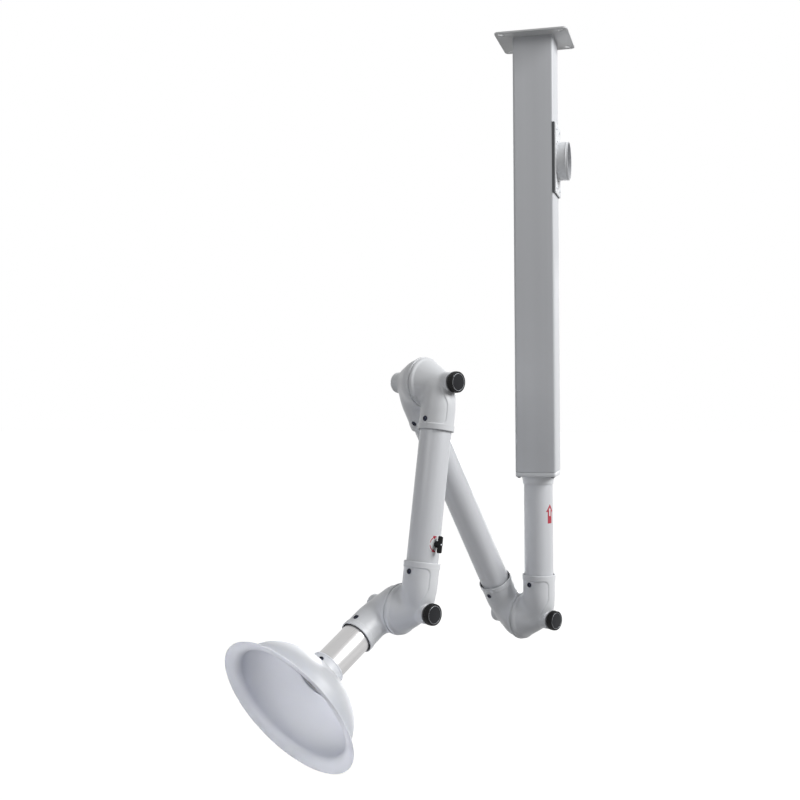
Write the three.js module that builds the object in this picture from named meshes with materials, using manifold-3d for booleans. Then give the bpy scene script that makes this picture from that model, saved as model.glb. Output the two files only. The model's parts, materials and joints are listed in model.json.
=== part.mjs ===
// Fume extraction arm that hangs from a ceiling plate: a square column, a swivelling drop tube,
// two folding arm tubes on friction joints, and a bowl-shaped hood on a short tube.
// Millimetres, +Z up. The origin is the middle of the ceiling plate's top face, +X points at the duct spigot.
import * as THREE from 'three';
import { mergeVertices } from 'three/addons/utils/BufferGeometryUtils.js';
import Module from 'manifold-3d';

const wasm = await Module();
wasm.setup();

// Clearances
const CLEAR = 0.3; // between assembled pieces
const RUN = 0.4; // between a turning pin and its hole
const SWIVEL_RUN = 0.8; // between the drop tube and its bearing
const CUT = 1; // how far a cutting tool reaches past what it cuts
const SLIVER = 0.01; // straight edge left between two full rounds

// Tubes
const TUBE_R = 37.5;
const TUBE_WALL = 1.5;

// Ceiling plate
const PLATE_SIDE = 186;
const PLATE_THICK = 5;
const PLATE_CORNER_R = 12;
const SLOT_LENGTH = 20;
const SLOT_WIDTH = 8;
const SLOT_INSET = 17; // slot centre from each edge of the plate

// Column extrusion
const COLUMN_SIDE = 104;
const COLUMN_WALL = 2.5;
const COLUMN_CORNER_R = 6;
const COLUMN_LENGTH = 1118;
const COLUMN_INNER_CORNER_R = 1; // smallest corner radius of an inset section
const PORT_R = 6.5; // screw port in each corner
const PORT_INSET = 8.5; // port centre from the column's outer faces

// Assembly screws in the column's ports
const SCREW_R = 2.5;
const SCREW_GRIP = 20; // length held in the port
const SCREW_HEAD_R = 5;
const SCREW_HEAD_HIGH = 3;

// Duct adaptor on the column's +X face
const DUCT_DROP = 320; // spigot axis below the plate's top face
const SPIGOT_R = 49;
const SPIGOT_WALL = 2;
const SPIGOT_LENGTH = 29;
const ADAPTOR_HIGH = 180;
const ADAPTOR_ABOVE_AXIS = 93; // plate's top edge above the spigot axis
const ADAPTOR_THICK = 3;
const ADAPTOR_CORNER_R = 3;
const GASKET_THICK = 2;
const GASKET_LIP = 4.5; // reach of the gasket's lips round the column's edges
const DUCT_SCREW_R = 2;
const DUCT_SCREW_HEAD_R = 4;
const DUCT_SCREW_HEAD_HIGH = 2.2;
const DUCT_SCREW_INSET = 14; // screw from the adaptor's ends
const DUCT_SCREW_SPREAD = 56; // between screws across the column
const DUCT_SCREW_PAST = 6; // screw's end past the column's wall

// End cap and swivel at the column's foot
const CAP_THICK = 12;
const CAP_CHAMFER = 2.5;
const BUSH_WALL = 3.2;
const BUSH_FLANGE_R = 46;
const BUSH_FLANGE_THICK = 3;
const BUSH_FLARE_LENGTH = 20; // flared collar below the cap
const BUSH_FLARE_TIP = 1.2; // wall at the collar's lower edge
const BUSH_FLARE_STEP = 1.5; // collar's upper edge beyond the sleeve
const RING_R = 45;
const RING_HIGH = 14;
const TUBE_ABOVE_RING = 12;

// Arm layout
const BASE_JOINT_DROP = 1508; // base joint's axis below the plate's top face
const SEAM_OFFSET = 50; // tube axis to the seam between two elbows
const REAR_ARM = 725; // base joint axis to middle joint axis
const FRONT_ARM = 540; // middle joint axis to hood joint axis
const HOOD_REACH = 360; // hood joint axis to the hood's rim plane
const SWIVEL_REST = -29; // degrees about Z
const REAR_TILT_REST = 31.5; // degrees from upright
const FOLD_REST = 41; // degrees between the two arm tubes
const HOOD_TILT_REST = 50.5; // degrees between the front arm and the hood's tube

// Elbow castings
const MOUTH = 116; // joint axis to the socket's mouth
const SOCKET_R = 41.5;
const COLLAR_R = 43;
const COLLAR_HIGH = 14;
const COLLAR_RAMP = 1.5; // slope at the collar's lower edge
const SOCKET_DEPTH = 45; // how far a tube goes in
const ELBOW_FLOOR = 20; // rounded underside below the joint axis
const ELBOW_BEND = 68; // the socket starts to round off at this height above the joint axis
const ELBOW_WALL = 3.7;
const BELL_R = 57; // bell radius behind the rim
const KNOB_RIM_R = 59;
const PLAIN_RIM_R = 61;
const KNOB_RIM_ROUND = 3.5; // edge at the seam
const PLAIN_RIM_ROUND = 1;
const RIM_WIDE = 8;
const SEAM_GAP = 1.2;
const BELL_R_AT_TUBE = 38; // bell radius level with the tube axis
const BELL_BULGE = 2.5; // halfway, beyond a straight cone
const BELL_STEP = 1; // bell's end stands out from the boss by this
const BOSS_START = 14; // tube axis to where the bell meets the boss
const KNOB_BOSS_R = 22.5;
const PLAIN_BOSS_R = 25.5;
const KNOB_BOSS_END = 36.5; // tube axis to the boss end under the knob
const PLAIN_BOSS_END = 47;
const PLAIN_BOSS_ROUND = 9;
const KNOB_BOSS_ROUND = 1;
const SPINE_WIDE = 24; // raised spine from collar to boss
const SPINE_PROUD = 1.5;
const SPINE_ABOVE_KNOB = 4;

// Seals and screws at the socket mouths
const MOUTH_SEAL_WALL = 2.8;
const MOUTH_SEAL_DEEP = 4;
const MOUTH_SEAL_BACK = 0.8; // seal's face behind the mouth
const COLLAR_SCREW_DROP = 24; // screw axis below the mouth
const COLLAR_SCREW_R = 2.2;
const COLLAR_SCREW_HEAD_R = 6.5;
const COLLAR_SCREW_HEAD_HIGH = 3.4;
const COLLAR_SCREW_PAST = 1.5; // screw's end past the tube's wall
const DOME_SHOULDER = 0.75; // a domed head's bend, as a share of its radius and height

// Joint seal, stud, friction washer and knob
const JOINT_SEAL_R = 56;
const JOINT_SEAL_WIDE = 3;
const JOINT_SEAL_DEEP = 2.4;
const STUD_R = 5;
const BOSS_TIP = 4; // solid end of a plain boss beyond the stud
const WASHER_R = 19;
const WASHER_THICK = 2;
const KNOB_R = 25.5;
const KNOB_FACE = 56; // tube axis to the knob's face
const KNOB_RECESS_R = 20.5;
const KNOB_RECESS = 1.4;
const KNOB_BORE_DEEP = 10;
const KNOB_FLUTES = 16;
const KNOB_FLUTE_DEEP = 0.9;

// Damper in the front arm
const DAMPER_DROP = 380; // middle joint axis to the damper's spindle
const DAMPER_CLEAR = 0.6; // blade to the tube's wall
const DAMPER_BLADE_THICK = 1.6;
const SPINDLE_R = 3;
const DAMPER_HUB_R = 8;
const DAMPER_HUB_HIGH = 8;
const DAMPER_BAR_LONG = 40;
const DAMPER_BAR_WIDE = 8;
const DAMPER_BAR_HIGH = 11;
const DAMPER_HANDLE_HIGH = 12.5; // handle's top above the tube's surface
const DAMPER_CLIP_R = 6.5;
const DAMPER_CLIP_THICK = 2.2;
const SPINDLE_PAST_CLIP = 1.5;

// Hood
const HOOD_R = 185; // rim
const HOOD_BOWL_R = 154;
const HOOD_BOWL_HIGH = 104;
const HOOD_LIP_HIGH = 12;
const HOOD_WALL = 3;
const HOOD_COLLAR_TOP = 142; // collar's top edge above the rim plane
const HOOD_COLLAR_WALL = 4;
const HOOD_FLANGE_R = 53;
const HOOD_FLANGE_THICK = 3;
const HOOD_SEAT_MARGIN = 1; // flat seat beyond the collar's flange
const HOOD_NUT_R = 50;
const HOOD_NUT_HIGH = 9;
const HOOD_SCREW_DROP = 17; // screw axis below the collar's top edge
const HOOD_SCREW_TURN = 19; // degrees from the elbow's screw round to the hood's

// Facets around round pieces
const ROUND = 20;
const SMALL_ROUND = 8;
const PIN_ROUND = 12;
const BELL_ROUND = 16;
const BELL_INSIDE_ROUND = 12;
const HOOD_ROUND = 32;

// Materials

function finish(color, roughness, metalness) {
  return () => new THREE.MeshStandardMaterial({ color, roughness, metalness });
}

const paintedSteel = finish(0xc9cbcd, 0.5, 0.1);
const coatedAluminium = finish(0xd9dbde, 0.4, 0.2);
const bareAluminium = finish(0xd6d6d9, 0.3, 0.9);
const whitePlastic = finish(0xe9ebed, 0.45, 0);
const blackPlastic = finish(0x1b1c1f, 0.5, 0);
const blackRubber = finish(0x26282b, 0.8, 0);
const darkSteel = finish(0x4c4e52, 0.4, 0.9);
const brightSteel = finish(0xc4c6cc, 0.25, 1);
const milkyPlastic = finish(0xe3e6ec, 0.3, 0);

// Solids from geometry, and back

function solid(geometry) {
  const bare = geometry.clone();
  bare.deleteAttribute('normal');
  bare.deleteAttribute('uv');
  const merged = mergeVertices(bare, 1e-4);
  const index = merged.index.array;
  const triangles = [];
  for (let i = 0; i < index.length; i += 3) {
    const [a, b, c] = [index[i], index[i + 1], index[i + 2]];
    if (a !== b && b !== c && c !== a) triangles.push(a, b, c);
  }
  return new wasm.Manifold(new wasm.Mesh({
    numProp: 3,
    vertProperties: new Float32Array(merged.attributes.position.array),
    triVerts: new Uint32Array(triangles),
  }));
}

function geometryOf(body) {
  const { vertProperties, triVerts, numProp } = body.getMesh();
  const positions = new Float32Array((vertProperties.length / numProp) * 3);
  for (let i = 0; i < positions.length / 3; i += 1) {
    for (let k = 0; k < 3; k += 1) positions[i * 3 + k] = vertProperties[i * numProp + k];
  }
  const geometry = new THREE.BufferGeometry();
  geometry.setAttribute('position', new THREE.BufferAttribute(positions, 3));
  geometry.setIndex(new THREE.BufferAttribute(new Uint32Array(triVerts), 1));
  geometry.computeVertexNormals();
  return geometry;
}

// Turned solid about Z from a profile of [radius, z] points that closes on the axis or on itself, listed
// anticlockwise with the radius to the right.
function turned(profile, sides = ROUND) {
  const points = profile.map(([r, z]) => new THREE.Vector2(r, z));
  const geometry = new THREE.LatheGeometry(points, sides);
  geometry.rotateX(Math.PI / 2);
  return solid(geometry);
}

function cylinder(r, low, high, sides = ROUND) {
  return turned([[0, low], [r, low], [r, high], [0, high]], sides);
}

function pipe(rIn, rOut, low, high, sides = ROUND) {
  return turned([[rIn, low], [rOut, low], [rOut, high], [rIn, high], [rIn, low]], sides);
}

// Turns a solid made along Z so that its +Z runs along +X, or along +Y or -Y.
const alongX = (body) => body.rotate([0, 90, 0]);
const alongY = (body, sign) => body.rotate([-90 * sign, 0, 0]);

// Straight-sided solid along Z from a three.js shape.
function prism(shape, low, high, curveSegments = 3) {
  const options = { depth: high - low, bevelEnabled: false, curveSegments };
  const geometry = new THREE.ExtrudeGeometry(shape, options);
  geometry.translate(0, 0, low);
  return solid(geometry);
}

function roundedRectangle(wide, high, radius) {
  const [x, y] = [wide / 2, high / 2];
  const shape = new THREE.Shape();
  shape.absarc(x - radius, y - radius, radius, 0, Math.PI / 2);
  shape.absarc(-x + radius, y - radius, radius, Math.PI / 2, Math.PI);
  shape.absarc(-x + radius, -y + radius, radius, Math.PI, 1.5 * Math.PI);
  shape.absarc(x - radius, -y + radius, radius, 1.5 * Math.PI, 2 * Math.PI);
  shape.closePath();
  return shape;
}

function box(sizeX, sizeY, sizeZ, x, y, z) {
  const geometry = new THREE.BoxGeometry(sizeX, sizeY, sizeZ);
  geometry.translate(x, y, z);
  return solid(geometry);
}

const CORNERS = [[1, 1], [-1, 1], [-1, -1], [1, -1]];

function atCorners(place) {
  return CORNERS.map(([sx, sy]) => place(sx, sy));
}

function cutAll(body, tools) {
  return tools.reduce((rest, tool) => rest.subtract(tool), body);
}

function mesh(name, body, material) {
  const piece = new THREE.Mesh(geometryOf(body), material());
  piece.name = name;
  return piece;
}

const radians = THREE.MathUtils.degToRad;

// Ceiling mount

const PORT_AT = COLUMN_SIDE / 2 - PORT_INSET;
const COLUMN_TOP = -PLATE_THICK;
const COLUMN_FOOT = COLUMN_TOP - COLUMN_LENGTH;
const CAP_FOOT = COLUMN_FOOT - CAP_THICK;
const DUCT_Z = -DUCT_DROP;
const DUCT_BORE_R = SPIGOT_R - SPIGOT_WALL;
const COLUMN_FACE = COLUMN_SIDE / 2;

// Copies of a solid on the axes of the column's four screw ports.
function atPorts(body) {
  return atCorners((sx, sy) => body.translate([sx * PORT_AT, sy * PORT_AT, 0]));
}

function ceilingPlate() {
  const plate = prism(roundedRectangle(PLATE_SIDE, PLATE_SIDE, PLATE_CORNER_R), -PLATE_THICK, 0);
  const at = PLATE_SIDE / 2 - SLOT_INSET;
  const slotShape = roundedRectangle(SLOT_LENGTH, SLOT_WIDTH, SLOT_WIDTH / 2 - SLIVER);
  const slots = atCorners((sx, sy) => prism(slotShape, -PLATE_THICK - CUT, CUT)
    .rotate([0, 0, 45 * sx * sy])
    .translate([sx * at, sy * at, 0]));
  const screwHoles = atPorts(cylinder(SCREW_R + CLEAR, -PLATE_THICK - CUT, CUT, SMALL_ROUND)
    .add(cylinder(SCREW_HEAD_R + CLEAR, -SCREW_HEAD_HIGH - CLEAR, CUT, SMALL_ROUND)));
  return cutAll(plate, [...slots, ...screwHoles]);
}

// A screw with its head up at z = 0 and its shank down.
function assemblyScrew(through) {
  return cylinder(SCREW_HEAD_R, -SCREW_HEAD_HIGH, 0, SMALL_ROUND)
    .add(cylinder(SCREW_R, -through - SCREW_GRIP, -SCREW_HEAD_HIGH / 2, SMALL_ROUND));
}

function columnSection(inset) {
  const side = COLUMN_SIDE - 2 * inset;
  return roundedRectangle(side, side, Math.max(COLUMN_CORNER_R - inset, COLUMN_INNER_CORNER_R));
}

function column() {
  const outside = prism(columnSection(0), COLUMN_FOOT, COLUMN_TOP);
  const inside = prism(columnSection(COLUMN_WALL), COLUMN_FOOT - CUT, COLUMN_TOP + CUT);
  const ports = atPorts(cylinder(PORT_R, COLUMN_FOOT, COLUMN_TOP, SMALL_ROUND));
  const bores = atPorts(cylinder(SCREW_R + CLEAR, COLUMN_FOOT - CUT, COLUMN_TOP + CUT, SMALL_ROUND));
  const shell = ports.reduce((all, port) => all.add(port), outside.subtract(inside));
  const wallWindow = ductWindow(COLUMN_FACE - COLUMN_WALL - CUT, COLUMN_FACE + CUT);
  return cutAll(shell, [...bores, wallWindow, ...ductScrewPlaces(ductScrewHole)]);
}

// Duct adaptor

const GASKET_FACE = COLUMN_FACE + CLEAR + GASKET_THICK;
const ADAPTOR_BACK = GASKET_FACE + CLEAR;
const ADAPTOR_FACE = ADAPTOR_BACK + ADAPTOR_THICK;
const ADAPTOR_TOP = DUCT_Z + ADAPTOR_ABOVE_AXIS;
const ADAPTOR_FOOT = ADAPTOR_TOP - ADAPTOR_HIGH;
const DUCT_SCREW_END = COLUMN_FACE - COLUMN_WALL - DUCT_SCREW_PAST;

function ductScrewPlaces(place) {
  const levels = [ADAPTOR_TOP - DUCT_SCREW_INSET, ADAPTOR_FOOT + DUCT_SCREW_INSET];
  return levels.flatMap((z) => [-1, 1].map((side) => place(side * DUCT_SCREW_SPREAD / 2, z)));
}

function ductScrewHole(y, z) {
  const tool = cylinder(DUCT_SCREW_R + CLEAR, DUCT_SCREW_END - CUT, ADAPTOR_FACE + CUT, SMALL_ROUND);
  return alongX(tool).translate([0, y, z]);
}

// Round hole on the spigot's axis, inside the column's flat face.
function ductWindow(low, high) {
  return alongX(cylinder(DUCT_BORE_R - COLUMN_CORNER_R, low, high)).translate([0, 0, DUCT_Z]);
}

function ductScrew(y, z) {
  const shank = cylinder(DUCT_SCREW_R, DUCT_SCREW_END, ADAPTOR_FACE + DUCT_SCREW_HEAD_HIGH / 2, SMALL_ROUND);
  const head = domedHead(DUCT_SCREW_HEAD_R, DUCT_SCREW_HEAD_HIGH, ADAPTOR_FACE + CLEAR);
  return alongX(shank.add(head)).translate([0, y, z]);
}

// Rubber sheet under the adaptor, with lips that follow the column's rounded edges.
function ductGasket() {
  const half = COLUMN_SIDE / 2;
  const centre = half - COLUMN_CORNER_R;
  const radius = COLUMN_CORNER_R + CLEAR;
  const sweep = Math.acos(Math.max(1 - GASKET_LIP / radius, -1));
  const start = Math.min(sweep, Math.PI / 2);
  const tipX = centre + radius * Math.cos(start);
  const tipY = centre + radius * Math.sin(start);
  const shape = new THREE.Shape();
  shape.moveTo(GASKET_FACE, -tipY);
  shape.lineTo(GASKET_FACE, tipY);
  shape.lineTo(tipX, tipY);
  shape.absarc(centre, centre, radius, start, 0, true);
  shape.lineTo(centre + radius, -centre);
  shape.absarc(centre, -centre, radius, 0, -start, true);
  shape.closePath();
  const bore = ductWindow(COLUMN_FACE - CUT, GASKET_FACE + CUT);
  const sheet = prism(shape, ADAPTOR_FOOT, ADAPTOR_TOP, 4);
  return cutAll(sheet, [bore, ...ductScrewPlaces(ductScrewHole)]);
}

function ductAdaptor() {
  const end = ADAPTOR_FACE + SPIGOT_LENGTH;
  const outline = roundedRectangle(ADAPTOR_HIGH, COLUMN_SIDE, ADAPTOR_CORNER_R);
  const plate = alongX(prism(outline, ADAPTOR_BACK, ADAPTOR_FACE))
    .translate([0, 0, (ADAPTOR_TOP + ADAPTOR_FOOT) / 2]);
  const spigot = alongX(cylinder(SPIGOT_R, ADAPTOR_BACK, end, HOOD_ROUND)).translate([0, 0, DUCT_Z]);
  const bore = alongX(cylinder(DUCT_BORE_R, ADAPTOR_BACK - CUT, end + CUT, HOOD_ROUND))
    .translate([0, 0, DUCT_Z]);
  return cutAll(plate.add(spigot), [bore, ...ductScrewPlaces(ductScrewHole)]);
}

// Domed screw head with its flat side at low.
function domedHead(r, high, low) {
  const shoulder = [r * DOME_SHOULDER, low + high * DOME_SHOULDER];
  return turned([[0, low], [r, low], shoulder, [0, low + high]], SMALL_ROUND);
}

// Column foot

const BUSH_BORE_R = TUBE_R + SWIVEL_RUN;
const BUSH_R = BUSH_BORE_R + BUSH_WALL;

function endCap() {
  const plate = prism(columnSection(0), CAP_FOOT + CAP_CHAMFER, COLUMN_FOOT);
  const lower = prism(columnSection(CAP_CHAMFER), CAP_FOOT, CAP_FOOT + CAP_CHAMFER);
  const hole = cylinder(BUSH_R + CLEAR, CAP_FOOT - CUT, COLUMN_FOOT + CUT);
  const seat = cylinder(BUSH_FLANGE_R + CLEAR, COLUMN_FOOT - BUSH_FLANGE_THICK - CLEAR, COLUMN_FOOT + CUT);
  const screwHoles = atPorts(cylinder(SCREW_R + CLEAR, CAP_FOOT - CUT, COLUMN_FOOT + CUT, SMALL_ROUND));
  return cutAll(plate.add(lower), [hole, seat, ...screwHoles]);
}

// Bearing bush: a flange let into the cap's upper face, a sleeve through the cap and a flared collar.
function swivelBush() {
  const bore = BUSH_BORE_R;
  const low = CAP_FOOT - CLEAR;
  return turned([
    [bore, low - BUSH_FLARE_LENGTH], [bore + BUSH_FLARE_TIP, low - BUSH_FLARE_LENGTH],
    [BUSH_R + BUSH_FLARE_STEP, low], [BUSH_R, low], [BUSH_R, COLUMN_FOOT - BUSH_FLANGE_THICK],
    [BUSH_FLANGE_R, COLUMN_FOOT - BUSH_FLANGE_THICK], [BUSH_FLANGE_R, COLUMN_FOOT], [bore, COLUMN_FOOT],
    [bore, low - BUSH_FLARE_LENGTH],
  ]);
}

const RING_LOW = COLUMN_FOOT + CLEAR;
const DROP_TUBE_TOP = RING_LOW + RING_HIGH + TUBE_ABOVE_RING;

// Elbows: the tube socket runs up +Z, the joint axis is X, the seam faces -X and the boss points to +X.

const SEAM_FACE = -SEAM_OFFSET + SEAM_GAP / 2;
const SOCKET_FLOOR = MOUTH - SOCKET_DEPTH - CLEAR;
const BORE_R = TUBE_R + CLEAR;
const FLOW_R = TUBE_R - TUBE_WALL;

// Bell between the seam and the boss, as [axial position, radius] points on a smooth convex curve.
function bellCurve(bossR, shrink) {
  const curve = new THREE.SplineCurve([
    new THREE.Vector2(SEAM_FACE + RIM_WIDE, BELL_R - shrink),
    new THREE.Vector2((SEAM_FACE + RIM_WIDE) / 2, (BELL_R + BELL_R_AT_TUBE) / 2 + BELL_BULGE - shrink),
    new THREE.Vector2(0, BELL_R_AT_TUBE - shrink),
    new THREE.Vector2(BOSS_START, bossR + BELL_STEP - shrink),
  ]);
  return curve.getPoints(3).map((p) => [p.x, p.y]);
}

// Profile points are [axial, radius] here, so they are swapped for turned().
function turnedAlongX(profile, sides) {
  return alongX(turned(profile.map(([x, r]) => [r, x]), sides));
}

function elbowOutside(rimR, rimRound, bossR, bossEnd, bossRound) {
  const bell = turnedAlongX([
    [SEAM_FACE, 0], [SEAM_FACE, rimR - rimRound], [SEAM_FACE + rimRound, rimR], [SEAM_FACE + RIM_WIDE, rimR],
    ...bellCurve(bossR, 0), [BOSS_START + BELL_STEP, bossR],
    [bossEnd - bossRound, bossR], [bossEnd, bossR - bossRound], [bossEnd, 0],
  ], BELL_ROUND);
  return bell.add(socketBody(0));
}

// Profile of the socket's elliptical underside, from the axis out to radius r.
function roundedFloor(r, depth) {
  const steps = 4;
  const points = [];
  for (let i = 0; i <= steps; i += 1) {
    const angle = (i / steps) * Math.PI / 2;
    points.push([r * Math.sin(angle), ELBOW_BEND - (ELBOW_BEND + depth) * Math.cos(angle)]);
  }
  return points;
}

// Socket with its rounded underside, grown outwards by proud.
function socketBody(proud) {
  const floor = roundedFloor(SOCKET_R + proud, ELBOW_FLOOR + proud);
  const collarLow = MOUTH - COLLAR_HIGH;
  const collarR = Math.max(COLLAR_R, SOCKET_R + proud);
  return turned([
    ...floor, [SOCKET_R + proud, collarLow], [collarR, collarLow + COLLAR_RAMP], [collarR, MOUTH], [0, MOUTH],
  ]);
}

function elbowInside(bossR) {
  const floor = roundedFloor(FLOW_R, ELBOW_FLOOR - ELBOW_WALL);
  const sealFloor = MOUTH - MOUTH_SEAL_DEEP;
  const sealR = BORE_R + MOUTH_SEAL_WALL + CLEAR;
  const socket = turned([
    ...floor, [FLOW_R, SOCKET_FLOOR], [BORE_R, SOCKET_FLOOR], [BORE_R, sealFloor], [sealR, sealFloor],
    [sealR, MOUTH + CUT], [0, MOUTH + CUT],
  ]);
  const inner = bellCurve(bossR, ELBOW_WALL).slice(0, -1);
  const bell = turnedAlongX([
    [SEAM_FACE - CUT, 0], [SEAM_FACE - CUT, BELL_R - ELBOW_WALL], ...inner, [0, 0],
  ], BELL_INSIDE_ROUND);
  return socket.add(bell);
}

function collarScrewHole(side) {
  return alongY(cylinder(COLLAR_SCREW_R + CLEAR, 0, COLLAR_R + CUT, SMALL_ROUND), side)
    .translate([0, 0, MOUTH - COLLAR_SCREW_DROP]);
}

// Elbow under a knob, with a raised spine from the collar to the boss.
function knobElbow(screwSide) {
  const low = KNOB_R + SPINE_ABOVE_KNOB;
  const high = MOUTH - COLLAR_HIGH / 2;
  const strip = box(SOCKET_R * 2, SPINE_WIDE, high - low, SOCKET_R, 0, (high + low) / 2);
  const spine = socketBody(SPINE_PROUD).intersect(strip);
  const studHole = alongX(cylinder(STUD_R + RUN, 0, KNOB_BOSS_END + CUT, PIN_ROUND));
  const outside = elbowOutside(KNOB_RIM_R, KNOB_RIM_ROUND, KNOB_BOSS_R, KNOB_BOSS_END, KNOB_BOSS_ROUND);
  return cutAll(outside.add(spine), [
    elbowInside(KNOB_BOSS_R), studHole, collarScrewHole(screwSide),
  ]);
}

// Elbow with a plain rounded boss. A groove in its rim holds the joint seal.
function plainElbow(screwSide) {
  const groove = alongX(pipe(JOINT_SEAL_R - JOINT_SEAL_WIDE - CLEAR, JOINT_SEAL_R + CLEAR,
    SEAM_FACE - CUT, SEAM_FACE + JOINT_SEAL_DEEP, BELL_ROUND));
  const studHole = alongX(cylinder(STUD_R + CLEAR, 0, STUD_END + CLEAR, PIN_ROUND));
  const outside = elbowOutside(PLAIN_RIM_R, PLAIN_RIM_ROUND, PLAIN_BOSS_R, PLAIN_BOSS_END, PLAIN_BOSS_ROUND);
  return cutAll(outside, [
    elbowInside(PLAIN_BOSS_R), groove, studHole, collarScrewHole(screwSide),
  ]);
}

// How far the stud reaches past the plain elbow's tube axis, into its boss.
const STUD_END = PLAIN_BOSS_END - BOSS_TIP - CLEAR;

function mouthSeal() {
  return pipe(BORE_R, BORE_R + MOUTH_SEAL_WALL, MOUTH - MOUTH_SEAL_DEEP + CLEAR, MOUTH - MOUTH_SEAL_BACK);
}

// Screw along Z from inside the tube's wall to a domed head on a seat.
function tubeScrew(seat) {
  const end = FLOW_R - COLLAR_SCREW_PAST;
  const shank = cylinder(COLLAR_SCREW_R, end, seat + COLLAR_SCREW_HEAD_HIGH / 2, SMALL_ROUND);
  return shank.add(domedHead(COLLAR_SCREW_HEAD_R, COLLAR_SCREW_HEAD_HIGH, seat));
}

function collarScrew(side) {
  return alongY(tubeScrew(SOCKET_R + CLEAR), side).translate([0, 0, MOUTH - COLLAR_SCREW_DROP]);
}

// Joint hardware, along X from the seam's centre, with the knob side at +X

const KNOB_BOSS = SEAM_OFFSET + KNOB_BOSS_END;
const WASHER_BACK = KNOB_BOSS + CLEAR;
const KNOB_BACK = WASHER_BACK + WASHER_THICK + CLEAR;
const KNOB_FRONT = SEAM_OFFSET + KNOB_FACE;

function jointSeal() {
  const low = -SEAM_GAP / 2 - JOINT_SEAL_DEEP + CLEAR;
  return alongX(pipe(JOINT_SEAL_R - JOINT_SEAL_WIDE, JOINT_SEAL_R, low, SEAM_GAP / 2 - CLEAR, BELL_ROUND));
}

function stud() {
  return alongX(cylinder(STUD_R, -SEAM_OFFSET - STUD_END, KNOB_BACK + KNOB_BORE_DEEP - CLEAR, PIN_ROUND));
}

function frictionWasher() {
  return alongX(pipe(STUD_R + RUN, WASHER_R, WASHER_BACK, WASHER_BACK + WASHER_THICK, PIN_ROUND));
}

function knob() {
  const outline = new THREE.Shape();
  const steps = KNOB_FLUTES * 2;
  for (let i = 0; i < steps; i += 1) {
    const r = i % 2 ? KNOB_R - KNOB_FLUTE_DEEP : KNOB_R;
    const angle = (i / steps) * 2 * Math.PI;
    if (i) outline.lineTo(r * Math.cos(angle), r * Math.sin(angle));
    else outline.moveTo(r, 0);
  }
  outline.closePath();
  const body = prism(outline, KNOB_BACK, KNOB_FRONT);
  const recess = cylinder(KNOB_RECESS_R, KNOB_FRONT - KNOB_RECESS, KNOB_FRONT + CUT);
  const bore = cylinder(STUD_R + RUN, KNOB_BACK - CUT, KNOB_BACK + KNOB_BORE_DEEP, PIN_ROUND);
  return alongX(cutAll(body, [recess, bore]));
}

// Arm tubes run along Z between two socket mouths, with a screw hole near each end on the -Y side. The last
// hole may be turned about the tube by some degrees.

function armTube(low, high, screwLevels, lastTurn = 0) {
  const hole = alongY(cylinder(COLLAR_SCREW_R + CLEAR, 0, TUBE_R + CUT, SMALL_ROUND), -1);
  const holes = screwLevels.map((z, i) => hole.rotate([0, 0, i ? lastTurn : 0]).translate([0, 0, z]));
  return cutAll(pipe(FLOW_R, TUBE_R, low, high), holes);
}

const TUBE_IN = MOUTH - SOCKET_DEPTH; // joint axis to the tube's end
const SCREW_IN = MOUTH - COLLAR_SCREW_DROP; // joint axis to the collar screw

// Damper: blade and spindle, handle and clip, about the spindle's axis X

const DAMPER_SEAT = TUBE_R + CLEAR;
const DAMPER_TOP = TUBE_R + DAMPER_HANDLE_HIGH;
const SPINDLE_TIP = DAMPER_SEAT + DAMPER_HUB_HIGH;

function damperBlade() {
  const disc = cylinder(FLOW_R - DAMPER_CLEAR, -DAMPER_BLADE_THICK / 2, DAMPER_BLADE_THICK / 2);
  const spindleFoot = -DAMPER_SEAT - DAMPER_CLIP_THICK - SPINDLE_PAST_CLIP;
  const spindle = cylinder(SPINDLE_R, spindleFoot, SPINDLE_TIP - CLEAR, PIN_ROUND);
  return alongY(disc, 1).add(alongX(spindle));
}

function damperHandle() {
  const outline = roundedRectangle(DAMPER_BAR_LONG, DAMPER_BAR_WIDE, DAMPER_BAR_WIDE / 2 - SLIVER);
  const bar = prism(outline, DAMPER_TOP - DAMPER_BAR_HIGH, DAMPER_TOP);
  const hub = cylinder(DAMPER_HUB_R, DAMPER_SEAT, SPINDLE_TIP, SMALL_ROUND);
  const bore = cylinder(SPINDLE_R + CLEAR, 0, SPINDLE_TIP, PIN_ROUND);
  return alongX(bar.add(hub).subtract(bore));
}

function damperClip() {
  const low = -DAMPER_SEAT - DAMPER_CLIP_THICK;
  return alongX(pipe(SPINDLE_R + CLEAR, DAMPER_CLIP_R, low, -DAMPER_SEAT, PIN_ROUND));
}

// Hood, turned about Z with its rim plane at z = 0 and its neck up

const HOOD_COLLAR_R = TUBE_R + CLEAR + HOOD_COLLAR_WALL;
const NECK_R = HOOD_COLLAR_R + CLEAR;

const SEAT_R = HOOD_FLANGE_R + HOOD_SEAT_MARGIN;

// Height above the rim plane of the bowl's ellipse, inset by a wall or not.
function bowlHeight(r, inset) {
  return HOOD_LIP_HIGH + (HOOD_BOWL_HIGH - inset) * Math.sqrt(1 - (r / (HOOD_BOWL_R - inset)) ** 2);
}

// The bowl is flat round its neck hole.
const SEAT_TOP = bowlHeight(SEAT_R, 0);
const SEAT_UNDER = bowlHeight(SEAT_R, HOOD_WALL);

// Ellipse from the flat seat down to where the lip starts.
function bowlArc(inset) {
  const steps = 5;
  const r = HOOD_BOWL_R - inset;
  const start = Math.acos(SEAT_R / r);
  const points = [];
  for (let i = 0; i <= steps; i += 1) {
    const angle = start * (1 - i / steps);
    points.push([r * Math.cos(angle), HOOD_LIP_HIGH + (HOOD_BOWL_HIGH - inset) * Math.sin(angle)]);
  }
  return points;
}

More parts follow.
